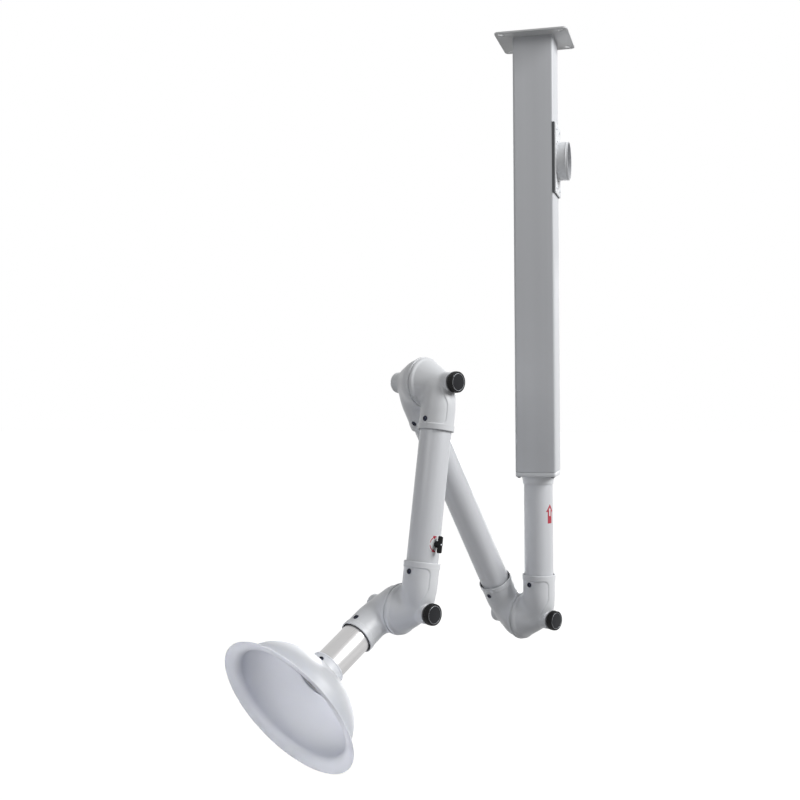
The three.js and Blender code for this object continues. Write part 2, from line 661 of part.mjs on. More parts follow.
// Lip that flares from the bowl's foot to the rim, which it meets at a height of rise.
function lipArc(rise, inset) {
  const steps = 2;
  const points = [];
  for (let i = 1; i <= steps; i += 1) {
    const angle = (i / steps) * Math.PI / 2;
    points.push([
      HOOD_BOWL_R - inset + (HOOD_R - HOOD_BOWL_R + inset) * (1 - Math.cos(angle)),
      rise + (HOOD_LIP_HIGH - rise) * (1 - Math.sin(angle)),
    ]);
  }
  return points;
}

function hoodBowl() {
  const outer = [[NECK_R, SEAT_TOP], ...bowlArc(0), ...lipArc(HOOD_WALL, 0)];
  const inner = [[NECK_R, SEAT_UNDER], ...bowlArc(HOOD_WALL), ...lipArc(0, HOOD_WALL)];
  return turned([...inner, ...outer.reverse(), inner[0]], HOOD_ROUND);
}

// White collar: a sleeve round the short tube, with a flange on the bowl and a spigot through its neck.
function hoodCollar() {
  const flangeLow = SEAT_TOP + CLEAR;
  const spigotLow = HOOD_NUT_LOW;
  const bore = TUBE_R + CLEAR;
  const body = turned([
    [bore, spigotLow], [HOOD_COLLAR_R, spigotLow], [HOOD_COLLAR_R, flangeLow], [HOOD_FLANGE_R, flangeLow],
    [HOOD_FLANGE_R, flangeLow + HOOD_FLANGE_THICK], [HOOD_COLLAR_R, flangeLow + HOOD_FLANGE_THICK],
    [HOOD_COLLAR_R, HOOD_COLLAR_TOP], [bore, HOOD_COLLAR_TOP], [bore, spigotLow],
  ]);
  const hole = alongY(cylinder(COLLAR_SCREW_R + CLEAR, 0, HOOD_FLANGE_R, SMALL_ROUND), -1)
    .rotate([0, 0, HOOD_SCREW_TURN])
    .translate([0, 0, HOOD_COLLAR_TOP - HOOD_SCREW_DROP]);
  return body.subtract(hole);
}

// Ring nut on the collar's spigot, inside the bowl.
const HOOD_NUT_TOP = SEAT_UNDER - CLEAR;
const HOOD_NUT_LOW = HOOD_NUT_TOP - HOOD_NUT_HIGH;

function hoodNut() {
  return pipe(NECK_R, HOOD_NUT_R, HOOD_NUT_LOW, HOOD_NUT_TOP, HOOD_ROUND);
}

function hoodScrew() {
  return alongY(tubeScrew(HOOD_COLLAR_R + CLEAR), -1)
    .rotate([0, 0, HOOD_SCREW_TURN])
    .translate([0, 0, HOOD_COLLAR_TOP - HOOD_SCREW_DROP]);
}

// Assembly

// An elbow with its mouth seal and collar screw, as one turned group at the given place.
function elbowSet(name, shape, screwSide, turn, place) {
  const group = new THREE.Group();
  group.add(mesh(`${name}_elbow`, shape(screwSide), whitePlastic));
  group.add(mesh(`${name}_tube_seal`, mouthSeal(), blackRubber));
  group.add(mesh(`${name}_collar_screw`, collarScrew(screwSide), brightSteel));
  group.rotation.set(...turn);
  group.position.set(...place);
  return group;
}

// Placed with the plain elbow, which holds the seal and the stud.
function jointHardware(name) {
  const group = new THREE.Group();
  group.add(mesh(`${name}_joint_seal`, jointSeal(), blackRubber));
  group.add(mesh(`${name}_joint_stud`, stud(), darkSteel));
  group.add(mesh(`${name}_joint_washer`, frictionWasher(), blackRubber));
  group.add(mesh(`${name}_joint_knob`, knob(), blackPlastic));
  return group;
}

function ceilingMount() {
  const group = new THREE.Group();
  group.add(mesh('ceiling_plate', ceilingPlate(), paintedSteel));
  group.add(mesh('column', column(), coatedAluminium));
  group.add(mesh('duct_gasket', ductGasket(), blackRubber));
  group.add(mesh('duct_adaptor', ductAdaptor(), whitePlastic));
  ductScrewPlaces((y, z) => [y, z]).forEach(([y, z], i) => {
    group.add(mesh(`duct_screw_${i + 1}`, ductScrew(y, z), brightSteel));
  });
  group.add(mesh('end_cap', endCap(), whitePlastic));
  group.add(mesh('swivel_bush', swivelBush(), whitePlastic));
  CORNERS.forEach(([sx, sy], i) => {
    const plateScrew = mesh(`plate_screw_${i + 1}`, assemblyScrew(PLATE_THICK), darkSteel);
    plateScrew.position.set(sx * PORT_AT, sy * PORT_AT, 0);
    const capScrew = mesh(`cap_screw_${i + 1}`, assemblyScrew(CAP_THICK + SCREW_HEAD_HIGH), darkSteel);
    capScrew.rotation.x = Math.PI;
    capScrew.position.set(sx * PORT_AT, sy * PORT_AT, CAP_FOOT - SCREW_HEAD_HIGH - CLEAR);
    group.add(plateScrew, capScrew);
  });
  return group;
}

function hoodHead() {
  const head = new THREE.Group();
  head.add(elbowSet('hood', plainElbow, -1, [0, Math.PI, 0], [-SEAM_OFFSET, 0, 0]));
  const hood = new THREE.Group();
  hood.add(mesh('hood_bowl', hoodBowl(), milkyPlastic));
  hood.add(mesh('hood_collar', hoodCollar(), whitePlastic));
  hood.add(mesh('hood_nut', hoodNut(), whitePlastic));
  hood.add(mesh('hood_screw', hoodScrew(), brightSteel));
  hood.position.set(-SEAM_OFFSET, 0, -HOOD_REACH);
  const screwLevel = -HOOD_REACH + HOOD_COLLAR_TOP - HOOD_SCREW_DROP;
  const tubeBody = armTube(-HOOD_REACH + HOOD_NUT_LOW, -TUBE_IN, [-SCREW_IN, screwLevel], HOOD_SCREW_TURN);
  const tube = mesh('hood_tube', tubeBody, bareAluminium);
  tube.position.x = -SEAM_OFFSET;
  head.add(hood, tube, jointHardware('hood'));
  head.rotation.x = -radians(HOOD_TILT_REST);
  head.position.z = -FRONT_ARM;
  return head;
}

function frontArm() {
  const arm = new THREE.Group();
  arm.add(elbowSet('front_upper', knobElbow, 1, [Math.PI, 0, 0], [SEAM_OFFSET, 0, 0]));
  arm.add(elbowSet('front_lower', knobElbow, -1, [0, 0, 0], [SEAM_OFFSET, 0, -FRONT_ARM]));
  const spindleHole = alongX(cylinder(SPINDLE_R + RUN, -TUBE_R - CUT, TUBE_R + CUT, PIN_ROUND))
    .translate([0, 0, -DAMPER_DROP]);
  const tubeBody = armTube(-FRONT_ARM + TUBE_IN, -TUBE_IN, [-FRONT_ARM + SCREW_IN, -SCREW_IN])
    .subtract(spindleHole);
  const tube = mesh('front_tube', tubeBody, coatedAluminium);
  tube.position.x = SEAM_OFFSET;
  const damper = new THREE.Group();
  damper.add(mesh('damper_blade', damperBlade(), bareAluminium));
  damper.add(mesh('damper_handle', damperHandle(), blackPlastic));
  damper.add(mesh('damper_clip', damperClip(), darkSteel));
  damper.position.set(SEAM_OFFSET, 0, -DAMPER_DROP);
  arm.add(tube, damper, hoodHead());
  arm.rotation.x = -radians(FOLD_REST);
  arm.position.z = REAR_ARM;
  return arm;
}

function rearArm() {
  const arm = new THREE.Group();
  arm.add(elbowSet('rear_lower', plainElbow, 1, [0, 0, Math.PI], [-SEAM_OFFSET, 0, 0]));
  arm.add(elbowSet('rear_upper', plainElbow, -1, [0, Math.PI, 0], [-SEAM_OFFSET, 0, REAR_ARM]));
  const tubeBody = armTube(TUBE_IN, REAR_ARM - TUBE_IN, [SCREW_IN, REAR_ARM - SCREW_IN]);
  const tube = mesh('rear_tube', tubeBody, coatedAluminium);
  tube.position.x = -SEAM_OFFSET;
  const middleJoint = jointHardware('middle');
  middleJoint.position.z = REAR_ARM;
  arm.add(tube, jointHardware('base'), middleJoint, frontArm());
  arm.rotation.x = radians(REAR_TILT_REST);
  arm.position.set(-SEAM_OFFSET, 0, -BASE_JOINT_DROP);
  return arm;
}

function swivellingArm() {
  const group = new THREE.Group();
  const foot = -BASE_JOINT_DROP + TUBE_IN;
  group.add(mesh('drop_tube', armTube(foot, DROP_TUBE_TOP, [-BASE_JOINT_DROP + SCREW_IN]), coatedAluminium));
  const ring = pipe(TUBE_R + CLEAR, RING_R, RING_LOW, RING_LOW + RING_HIGH);
  group.add(mesh('retaining_ring', ring, whitePlastic));
  group.add(elbowSet('drop', knobElbow, -1, [0, 0, 0], [0, 0, -BASE_JOINT_DROP]));
  group.add(rearArm());
  group.rotation.z = radians(SWIVEL_REST);
  return group;
}

const extractionArm = new THREE.Group();
extractionArm.add(ceilingMount(), swivellingArm());

export default extractionArm;
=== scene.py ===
"""Builds the finished pieces, materials, studio and camera of a ceiling-hung fume extraction arm."""

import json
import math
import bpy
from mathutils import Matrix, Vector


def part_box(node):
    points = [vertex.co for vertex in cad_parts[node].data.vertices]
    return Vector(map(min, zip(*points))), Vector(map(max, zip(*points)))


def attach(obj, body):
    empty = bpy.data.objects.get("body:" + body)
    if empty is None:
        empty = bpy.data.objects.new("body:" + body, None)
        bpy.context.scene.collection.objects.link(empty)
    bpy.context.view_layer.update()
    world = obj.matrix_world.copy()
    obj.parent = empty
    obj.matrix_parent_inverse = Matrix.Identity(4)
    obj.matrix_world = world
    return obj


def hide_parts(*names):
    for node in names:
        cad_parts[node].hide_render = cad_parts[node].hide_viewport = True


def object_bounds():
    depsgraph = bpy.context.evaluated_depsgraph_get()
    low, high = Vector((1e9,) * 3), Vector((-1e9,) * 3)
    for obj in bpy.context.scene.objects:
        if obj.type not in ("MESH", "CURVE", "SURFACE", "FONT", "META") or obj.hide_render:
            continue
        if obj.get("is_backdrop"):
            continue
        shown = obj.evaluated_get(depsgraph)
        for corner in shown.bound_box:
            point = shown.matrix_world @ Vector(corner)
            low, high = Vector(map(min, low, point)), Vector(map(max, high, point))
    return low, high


bl_info = {
    "name": "Fume extraction arm",
    "version": (1, 0, 0),
    "blender": (4, 5, 0),
    "location": "View3D > Sidebar > Fume arm",
    "description": "Dresses the solids of a ceiling-hung fume extraction arm with finished pieces and materials",
    "category": "Object",
}

import bmesh
import bpy
import numpy as np
from bpy.props import FloatProperty, FloatVectorProperty, IntProperty, PointerProperty
from mathutils import Matrix, Vector

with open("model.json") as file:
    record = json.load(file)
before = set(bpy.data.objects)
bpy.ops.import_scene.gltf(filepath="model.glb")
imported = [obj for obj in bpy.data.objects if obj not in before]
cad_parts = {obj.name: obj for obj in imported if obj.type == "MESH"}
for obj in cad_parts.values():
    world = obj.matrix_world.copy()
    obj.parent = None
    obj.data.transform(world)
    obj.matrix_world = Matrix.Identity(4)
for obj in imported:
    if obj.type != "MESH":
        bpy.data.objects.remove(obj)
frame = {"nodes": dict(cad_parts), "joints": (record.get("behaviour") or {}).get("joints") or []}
CAD_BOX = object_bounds()
MM = 0.001

# Places of the joints and the ways of the tubes, read from the solids at rest

JOINTS = {joint["name"]: joint for joint in frame["joints"]}
UP = Vector((0, 0, 1))
TO_KNOBS = Vector(JOINTS["base_joint"]["axis"]).normalized()
BASE_SEAM = Vector(JOINTS["base_joint"]["pos_m"])
MIDDLE_SEAM = Vector(JOINTS["middle_joint"]["pos_m"])
HOOD_SEAM = Vector(JOINTS["hood_joint"]["pos_m"])
SEAM_OFFSET = BASE_SEAM.xy.length
REAR_WAY = (MIDDLE_SEAM - BASE_SEAM).normalized()
FRONT_WAY = (HOOD_SEAM - MIDDLE_SEAM).normalized()


def corner_points(node):
    """Corner points of a solid, in metres."""
    return [vertex.co.copy() for vertex in frame["nodes"][node].data.vertices]


def middle(node):
    """Mean of a solid's corner points, which lies on the axis of a turned one."""
    points = corner_points(node)
    return sum(points, Vector()) / len(points)


HOOD_HUB = HOOD_SEAM - SEAM_OFFSET * TO_KNOBS
HOOD_WAY = (middle("hood_nut") - HOOD_HUB).normalized()

# Elbow stem, body, seam, side of the seam, way to its mouth, side of its collar screw
ELBOWS = (
    ("drop", "drop", BASE_SEAM, 1, UP, -1),
    ("rear_lower", "rear_arm", BASE_SEAM, -1, REAR_WAY, 1),
    ("rear_upper", "rear_arm", MIDDLE_SEAM, -1, -REAR_WAY, -1),
    ("front_upper", "front_arm", MIDDLE_SEAM, 1, FRONT_WAY, 1),
    ("front_lower", "front_arm", HOOD_SEAM, 1, -FRONT_WAY, -1),
    ("hood", "hood_head", HOOD_SEAM, -1, HOOD_WAY, -1),
)

# Joint stem, body of its knob, seam
KNOBS = (
    ("base", "base_knob", BASE_SEAM),
    ("middle", "middle_knob", MIDDLE_SEAM),
    ("hood", "hood_knob", HOOD_SEAM),
)


def placed(origin, z_way, x_way):
    """Matrix of a local frame from its origin, its Z and its X."""
    y_way = z_way.cross(x_way)
    turn = Matrix((x_way, y_way, z_way)).transposed().to_4x4()
    return Matrix.Translation(origin) @ turn


def along(node, origin, way):
    """Lowest and highest reach of a solid along a way from an origin."""
    reaches = [(point - origin).dot(way) for point in corner_points(node)]
    return min(reaches), max(reaches)


# Settings

def linear(code):
    """Linear colour of an sRGB hex value."""
    shares = [int(code[place:place + 2], 16) / 255 for place in (1, 3, 5)]
    return tuple(s / 12.92 if s <= 0.04045 else ((s + 0.055) / 1.055) ** 2.4 for s in shares)


def length(name, millimetres, description):
    """Length property, written here in millimetres and kept in metres."""
    return FloatProperty(name=name, description=description, default=millimetres * MM, min=0, unit="LENGTH", precision=4)


def colour(name, code, description):
    """Colour property from an sRGB hex value."""
    return FloatVectorProperty(
        name=name, description=description, default=linear(code), size=3, min=0, max=1, subtype="COLOR"
    )


class MountSizes(bpy.types.PropertyGroup):
    """Sizes of the ceiling plate, the column and the duct adaptor."""

    plate_corner: length("Plate corner", 12, "Corner radius of the ceiling plate")
    slot_length: length("Slot length", 20, "Length of a fixing slot")
    slot_width: length("Slot width", 8, "Width of a fixing slot")
    slot_inset: length("Slot inset", 17, "Slot centre from each edge of the plate")
    plate_edge: length("Plate edge", 0.8, "Rounding of the plate's edges")
    column_corner: length("Column corner", 6, "Corner radius of the column")
    column_wall: length("Column wall", 2.5, "Wall of the column")
    window_radius: length("Window radius", 41, "Hole in the column behind the spigot")
    spigot_radius: length("Spigot radius", 49, "Outer radius of the duct spigot")
    spigot_wall: length("Spigot wall", 2, "Wall of the duct spigot")
    spigot_fillet: length("Spigot fillet", 3, "Fillet where the spigot leaves its plate")
    adaptor_corner: length("Adaptor corner", 3, "Corner radius of the adaptor's plate")
    duct_drop: length("Duct drop", 320, "Spigot axis below the ceiling")
    cap_round: length("Cap rounding", 3.2, "Rounding of the end cap's lower edge")


class TubeSizes(bpy.types.PropertyGroup):
    """Sizes of the tubes and their seals."""

    radius: length("Tube radius", 37.5, "Outer radius of every tube")
    wall: length("Tube wall", 1.5, "Wall of every tube")
    edge: length("Tube edge", 0.4, "Rounding of the tube ends")
    seal_wall: length("Seal wall", 2.8, "Wall of the rubber ring in a socket's mouth")
    seal_depth: length("Seal depth", 8, "Depth of the rubber ring in the mouth")
    seal_back: length("Seal back", 2.6, "How far the rubber ring sits behind the mouth")


class ElbowSizes(bpy.types.PropertyGroup):
    """Sizes of the elbow mouldings."""

    mouth: length("Mouth", 116, "Joint axis to the socket's mouth")
    socket_radius: length("Socket radius", 41.5, "Outer radius of the socket")
    collar_radius: length("Collar radius", 43, "Outer radius of the ring at the mouth")
    collar_height: length("Collar height", 14, "Height of the ring at the mouth")
    socket_depth: length("Socket depth", 45, "How far a tube goes in")
    knob_floor: length("Knob floor", 20, "A knob elbow's rounded underside below the joint axis")
    plain_floor: length("Plain floor", 32, "A plain elbow's rounded underside below the joint axis")
    bend: length("Bend", 68, "Height at which the socket starts to round off")
    wall: length("Wall", 3.7, "Wall of the moulding")
    bell_radius: length("Bell radius", 57, "Radius of the bell behind its rim")
    knob_bell: length("Knob bell", 32, "Radius of a knob elbow's bell level with the tube axis")
    plain_bell: length("Plain bell", 38, "Radius of a plain elbow's bell level with the tube axis")
    rim_width: length("Rim width", 5, "Width of the rim at the seam")
    seam_gap: length("Seam gap", 0.8, "Gap between two elbows")
    boss_start: length("Boss start", 11, "Tube axis to where the bell meets the boss")
    knob_rim_radius: length("Knob rim radius", 59, "Rim radius of an elbow under a knob")
    knob_rim_edge: length("Knob rim edge", 4, "Rounding of that rim")
    knob_boss_radius: length("Knob boss radius", 24, "Boss radius under a knob")
    knob_boss_end: length("Knob boss end", 36.5, "Tube axis to the boss end under a knob")
    plain_rim_radius: length("Plain rim radius", 61, "Rim radius of a plain elbow")
    plain_rim_edge: length("Plain rim edge", 1.4, "Rounding of that rim")
    plain_boss_radius: length("Plain boss radius", 25.5, "Boss radius of a plain elbow")
    plain_boss_end: length("Plain boss end", 47, "Tube axis to the end of a plain boss")
    plain_boss_round: length("Plain boss rounding", 9, "Rounding of a plain boss")
    spine_width: length("Spine width", 25, "Width of the raised spine at the collar")
    spine_flare: length("Spine flare", 22, "How much wider the spine is at the boss")
    spine_height: length("Spine height", 1.5, "How far the spine stands out")
    spine_corner: length("Spine corner", 16, "Soft inner corner between the spine and the collar")
    knob_fillet: length("Knob fillet", 11, "Soft transition between a knob elbow's bell and socket")
    plain_fillet: length("Plain fillet", 20, "Soft transition between a plain elbow's bell and socket")
    boss_fillet: length("Boss fillet", 2.2, "Soft transition between the boss and the bell")
    grain: length("Mesh step", 1.35, "Spacing of the mesh points on the moulding")


class KnobSizes(bpy.types.PropertyGroup):
    """Sizes of the clamping knobs."""

    radius: length("Knob radius", 25.5, "Radius over the grip ribs")
    rib_radius: length("Rib radius", 1.1, "Radius of one grip rib")
    rib_count: IntProperty(name="Rib count", description="Grip ribs round a knob", default=30, min=3)
    recess_radius: length("Recess radius", 20.5, "Radius of the recessed face")
    recess: length("Recess", 1.4, "Depth of the recessed face")
    # The ring's brightness is a painted highlight along the face's edge.
    ring_width: length("Ring width", 0.6, "Width of the bright ring round the face")


class DamperSizes(bpy.types.PropertyGroup):
    """Sizes of the damper's handle and its label."""

    drop: length("Damper drop", 380, "Middle joint axis to the damper's spindle")
    bar_length: length("Bar length", 40, "Length of the handle's bar")
    bar_width: length("Bar width", 8, "Width of the handle's bar")
    bar_height: length("Bar height", 11, "Height of the handle's bar")
    hub_radius: length("Hub radius", 7.6, "Radius of the stem between the tube and the bar")
    top: length("Handle top", 17.6, "Handle's top above the tube")
    label_radius: length("Label radius", 21, "Radius of the round label")
    arrow_radius: length("Arrow radius", 17.5, "Radius of the two turning arrows")
    arrow_width: length("Arrow width", 2.6, "Width of a turning arrow's band")


class MarkSizes(bpy.types.PropertyGroup):
    """Sizes of the red arrow on the drop tube."""

    tip: length("Tip drop", 1207, "Arrow's tip below the ceiling")
    tail: length("Tail drop", 1257, "Arrow's tail below the ceiling")
    head: length("Head length", 20, "Length of the arrow's head")
    head_width: length("Head width", 26, "Width of the arrow's head")
    shaft_width: length("Shaft width", 15, "Width of the arrow's shaft")
    turn: FloatProperty(
        name="Turn", description="Turn round the tube from the knobs' side",
        default=math.radians(-2.5), subtype="ANGLE",
    )
    # The arrow's pale middle is a painted highlight on the red ink.
    border: length("Border", 4.9, "Red border round the arrow's pale middle")
    foot: length("Foot", 19, "Red length below the arrow's pale middle")
    film: length("Film", 0.15, "Thickness of the printed film")


class HoodSizes(bpy.types.PropertyGroup):
    """Sizes of the hood, its collar and its nut."""

    rim_radius: length("Rim radius", 185, "Radius of the hood's rim")
    bowl_radius: length("Bowl radius", 154, "Radius of the bowl at its lip")
    bowl_height: length("Bowl height", 96, "Height of the bowl's ellipse above its lip")
    lip_height: length("Lip height", 20, "Height of the flared lip")
    wall: length("Hood wall", 3, "Wall of the hood")
    rim_edge: length("Rim edge", 1.4, "Rounding of the rim")
    collar_wall: length("Collar wall", 4, "Wall of the collar round the hood's tube")
    flange_radius: length("Flange radius", 53, "Radius of the collar's flange")
    flange: length("Flange", 3, "Thickness of the collar's flange")
    nut_radius: length("Nut radius", 50, "Radius of the ring nut inside the bowl")
    lug_count: IntProperty(name="Lug count", description="Lugs round the collar's foot", default=14, min=3)


class Colours(bpy.types.PropertyGroup):
    """Base colours of the finishes."""

    steel_paint: colour("Steel paint", "#e6e7e8", "Powder coat of the ceiling plate")
    aluminium_coat: colour("Aluminium coat", "#e6e8ec", "Coat of the arm tubes")
    # The column's broad dark bands, drawn over this colour, are painted shade.
    column_coat: colour("Column coat", "#e8eaee", "Coat of the column, before its bands")
    aluminium: colour("Aluminium", "#c4c3c3", "Bare aluminium of the hood's tube")
    white_plastic: colour("White plastic", "#e8eaed", "Moulded elbows, cap and collar")
    milky_plastic: colour("Milky plastic", "#e2e7fa", "Translucent hood")
    black_plastic: colour("Black plastic", "#0e0e10", "Knobs and damper handle")
    knob_face: colour("Knob face", "#1b1c20", "Recessed face of a knob")
    rubber: colour("Rubber", "#26282b", "Seals and washers")
    # This dark grey is painted shade along the adaptor plate's front edge.
    gasket: colour("Gasket", "#66686b", "Gasket under the duct adaptor")
    # This dark colour is a painted reflection on the shiny collar screw heads.
    screw: colour("Collar screw", "#2d2f3a", "Black-plated screws in the collars")
    dark_steel: colour("Dark steel", "#4a4c52", "Blackened screws and studs")
    bright_steel: colour("Bright steel", "#c3c6cb", "Plated screws and trim rings")
    red_ink: colour("Red ink", "#bd3145", "Printed arrows")
    # Also the painted highlight inside the red arrow.
    label: colour("Label", "#eceef0", "Ground of the damper's label")
    floor: colour("Floor", "#8c8c8c", "Studio floor")


class FumeArmSettings(bpy.types.PropertyGroup):
    """Every size and colour of the fume extraction arm."""

    mount: PointerProperty(type=MountSizes)
    tube: PointerProperty(type=TubeSizes)
    elbow: PointerProperty(type=ElbowSizes)
    knob: PointerProperty(type=KnobSizes)
    damper: PointerProperty(type=DamperSizes)
    mark: PointerProperty(type=MarkSizes)
    hood: PointerProperty(type=HoodSizes)
    colours: PointerProperty(type=Colours)


def settings():
    """Settings of the current scene."""
    return bpy.context.scene.fume_arm


# Node trees

def add_node(tree, kind, options=None, inputs=None):
    """Adds a node, sets its options and its inputs, and links the inputs that are given as sockets."""
    node = tree.nodes.new(kind)
    for name, value in (options or {}).items():
        setattr(node, name, value)
    for name, value in (inputs or {}).items():
        if isinstance(value, bpy.types.NodeSocket):
            tree.links.new(value, node.inputs[name])
        else:
            node.inputs[name].default_value = value
    return node


def per(millimetres):
    """Texture scale whose pattern repeats about every so many millimetres."""
    return 1 / (millimetres * MM)


def opaque(rgb, share=1):
    """Colour with its alpha, darkened by a share."""
    return (rgb[0] * share, rgb[1] * share, rgb[2] * share, 1)


def finish(name, rgb, grain, roughness, bump, mottle=70, shade=0.94, spread=0.06, stretch=None, **shader):
    """Material with a broad mottle of colour, and a fine grain in its roughness and height, sized in millimetres.

    With stretch, both are drawn out along the piece's own UV map, which is in metres, the mottle eight times as far.
    """
    material = bpy.data.materials.get(name)
    if material:
        return material
    material = bpy.data.materials.new(name)
    material.use_nodes = True
    tree = material.node_tree
    tree.nodes.clear()
    place = add_node(tree, "ShaderNodeTexCoord")
    ground = place.outputs["Object"]
    under = place.outputs["Object"]
    if stretch:
        drawn = add_node(
            tree, "ShaderNodeMapping", {}, {"Vector": place.outputs["UV"], "Scale": (1, grain / stretch, 1)}
        )
        ground = drawn.outputs["Vector"]
        banded = add_node(
            tree, "ShaderNodeMapping", {}, {"Vector": place.outputs["UV"], "Scale": (1, mottle / stretch / 8, 1)}
        )
        under = banded.outputs["Vector"]
    broad = add_node(
        tree, "ShaderNodeTexNoise", {}, {"Vector": under, "Scale": per(mottle), "Detail": 3, "Roughness": 0.55}
    )
    tint = add_node(
        tree, "ShaderNodeMix", {"data_type": "RGBA"}, {0: broad.outputs["Fac"], 6: opaque(rgb, shade), 7: opaque(rgb)}
    )
    fine = add_node(
        tree, "ShaderNodeTexNoise", {}, {"Vector": ground, "Scale": per(grain), "Detail": 4, "Roughness": 0.6}
    )
    gloss = add_node(
        tree, "ShaderNodeMapRange", {},
        {"Value": fine.outputs["Fac"], "To Min": roughness - spread, "To Max": roughness + spread},
    )
    height = add_node(
        tree, "ShaderNodeBump", {}, {"Height": fine.outputs["Fac"], "Distance": bump * MM, "Strength": 1}
    )
    principled = add_node(
        tree, "ShaderNodeBsdfPrincipled", {},
        {
            "Base Color": tint.outputs[2],
            "Roughness": gloss.outputs["Result"],
            "Normal": height.outputs["Normal"],
            **shader,
        },
    )
    add_node(tree, "ShaderNodeOutputMaterial", {}, {"Surface": principled.outputs["BSDF"]})
    return material


def powder_coat():
    # Powder-coated steel: baked polyester with a soft orange peel of a few millimetres and a satin gloss.
    return finish("powder_coated_steel", settings().colours.steel_paint, 3, 0.48, 0.06, IOR=1.5)


def coated_aluminium():
    # Extruded aluminium under a thin pale lacquer: fine die lines along its length show through the satin coat.
    # The lines are really some tenths of a millimetre apart and are drawn at 1.5 mm so that they show.
    # Broad faint bands along the length, about 22 mm wide, come from the lacquer's flow.
    return finish(
        "lacquered_aluminium", settings().colours.aluminium_coat, 1.5, 0.34, 0.012,
        mottle=22, shade=0.84, stretch=160, spread=0.08, Metallic=0.06,
    )


def column_coat():
    # The same lacquer on the wide flat faces of the column, with broad dark bands along its length that are painted
    # shade: they stand in for the uneven reflection across the column's front.
    return finish(
        "lacquered_column_extrusion", settings().colours.column_coat, 1.5, 0.5, 0.012,
        mottle=30, shade=0.66, stretch=160, spread=0.08, Metallic=0.03,
    )


def bare_aluminium():
    # Drawn bare aluminium tube: bright, with die lines along its length that streak the reflections.
    return finish(
        "drawn_bare_aluminium", settings().colours.aluminium, 1.8, 0.3, 0.015, stretch=140, spread=0.1, Metallic=1.0
    )


def white_plastic():
    # Injection-moulded ABS with a spark-eroded mould finish: satin, slightly soft light in its thin walls.
    # The mould's texture is about 0.1 mm fine and is drawn at 1.2 mm so that it shows.
    return finish("moulded_white_abs", settings().colours.white_plastic, 1.2, 0.37, 0.012, shade=0.965, IOR=1.53)


def milky_plastic():
    # Thermoformed opal polycarbonate: glossy, with soft flow ripples and light that spreads inside the sheet.
    return finish(
        "opal_polycarbonate", settings().colours.milky_plastic, 22, 0.42, 0.05, mottle=120, shade=0.97, spread=0.04,
        **{"IOR": 1.58, "Subsurface Weight": 0.9, "Subsurface Radius": (1, 1, 1.1), "Subsurface Scale": 0.016},
    )


def black_plastic():
    # Glass-filled black nylon with a matt moulded skin that catches a broad, dull highlight.
    return finish(
        "moulded_black_nylon", settings().colours.black_plastic, 0.9, 0.44, 0.02, mottle=18, shade=0.75,
        **{"IOR": 1.53, "Specular IOR Level": 0.15},
    )


def knob_face():
    # Dark insert disc, spun so that its fine rings throw a soft fan of light.
    return finish(
        "spun_dark_insert", settings().colours.knob_face, 0.8, 0.36, 0.01, mottle=14, stretch=60, shade=0.85,
        **{"Metallic": 0.5, "Specular IOR Level": 0.3},
    )


def rubber():
    # EPDM rubber: dull and slightly mottled with bloom.
    return finish("epdm_rubber", settings().colours.rubber, 1.5, 0.72, 0.03, mottle=25, shade=0.8, IOR=1.52)


def gasket_rubber_painted_shade():
    # Grey sponge rubber with an open, dull skin. Its dark grey is painted shade: it stands in for the shadow in the
    # gap between the column's front corner and the adaptor plate.
    return finish("grey_sponge_rubber", settings().colours.gasket, 1.8, 0.8, 0.05, mottle=20, shade=0.85, IOR=1.52)


def screw_painted_dark_reflection():
    # Dark screw heads: smooth and shiny, with a small sharp highlight. Their dark colour is a painted reflection,
    # standing in for the dark surroundings that the shiny domes mirror.
    return finish("black_plated_steel", settings().colours.screw, 1, 0.2, 0.004, mottle=6, shade=0.8, Metallic=1.0)


def dark_steel():
    # Blackened steel screws and studs, oiled, with a grainy sheen.
    return finish("blackened_steel", settings().colours.dark_steel, 0.9, 0.36, 0.01, mottle=8, shade=0.8, Metallic=1.0)


def bright_steel():
    # Zinc-plated steel: bright, slightly cloudy from the plating bath. On the knobs' rings its brightness is a painted
    # highlight along the edge of the face.
    return finish("zinc_plated_steel", settings().colours.bright_steel, 1.2, 0.36, 0.006, mottle=6, Metallic=1.0)


def red_ink():
    # Screen-printed red ink with a slight orange peel and an even satin gloss.
    return finish("screen_printed_red", settings().colours.red_ink, 1.6, 0.38, 0.006, mottle=12, shade=0.9, IOR=1.5)


def label_and_glint_film():
    # White vinyl film, a little glossier than the tube under it. Inside the red arrow the same film is a painted
    # highlight, standing in for the glint on the glossy ink.
    return finish("white_vinyl_film", settings().colours.label, 1.6, 0.34, 0.004, mottle=16, shade=0.97, IOR=1.53)


# Meshes

def add_piece(name, mesh, material, body, slot, nodes=()):
    """Puts a finished mesh in the scene as a piece that rides on a body and stands for some solids."""
    piece = bpy.data.objects.new(name, mesh)
    bpy.context.scene.collection.objects.link(piece)
    mesh.materials.clear()
    mesh.materials.append(material)
    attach(piece, body)
    if nodes:
        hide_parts(*nodes)
    return piece


def shade(mesh, angle=38):
    """Smooth shading with sharp edges above an angle in degrees."""
    mesh.shade_smooth()
    mesh.set_sharp_from_angle(angle=math.radians(angle))


def close_up(mesh):
    """Merges doubles and turns the faces outwards."""
    shell = bmesh.new()
    shell.from_mesh(mesh)
    bmesh.ops.remove_doubles(shell, verts=shell.verts, dist=1e-6)
    bmesh.ops.recalc_face_normals(shell, faces=shell.faces)
    shell.to_mesh(mesh)
    shell.free()


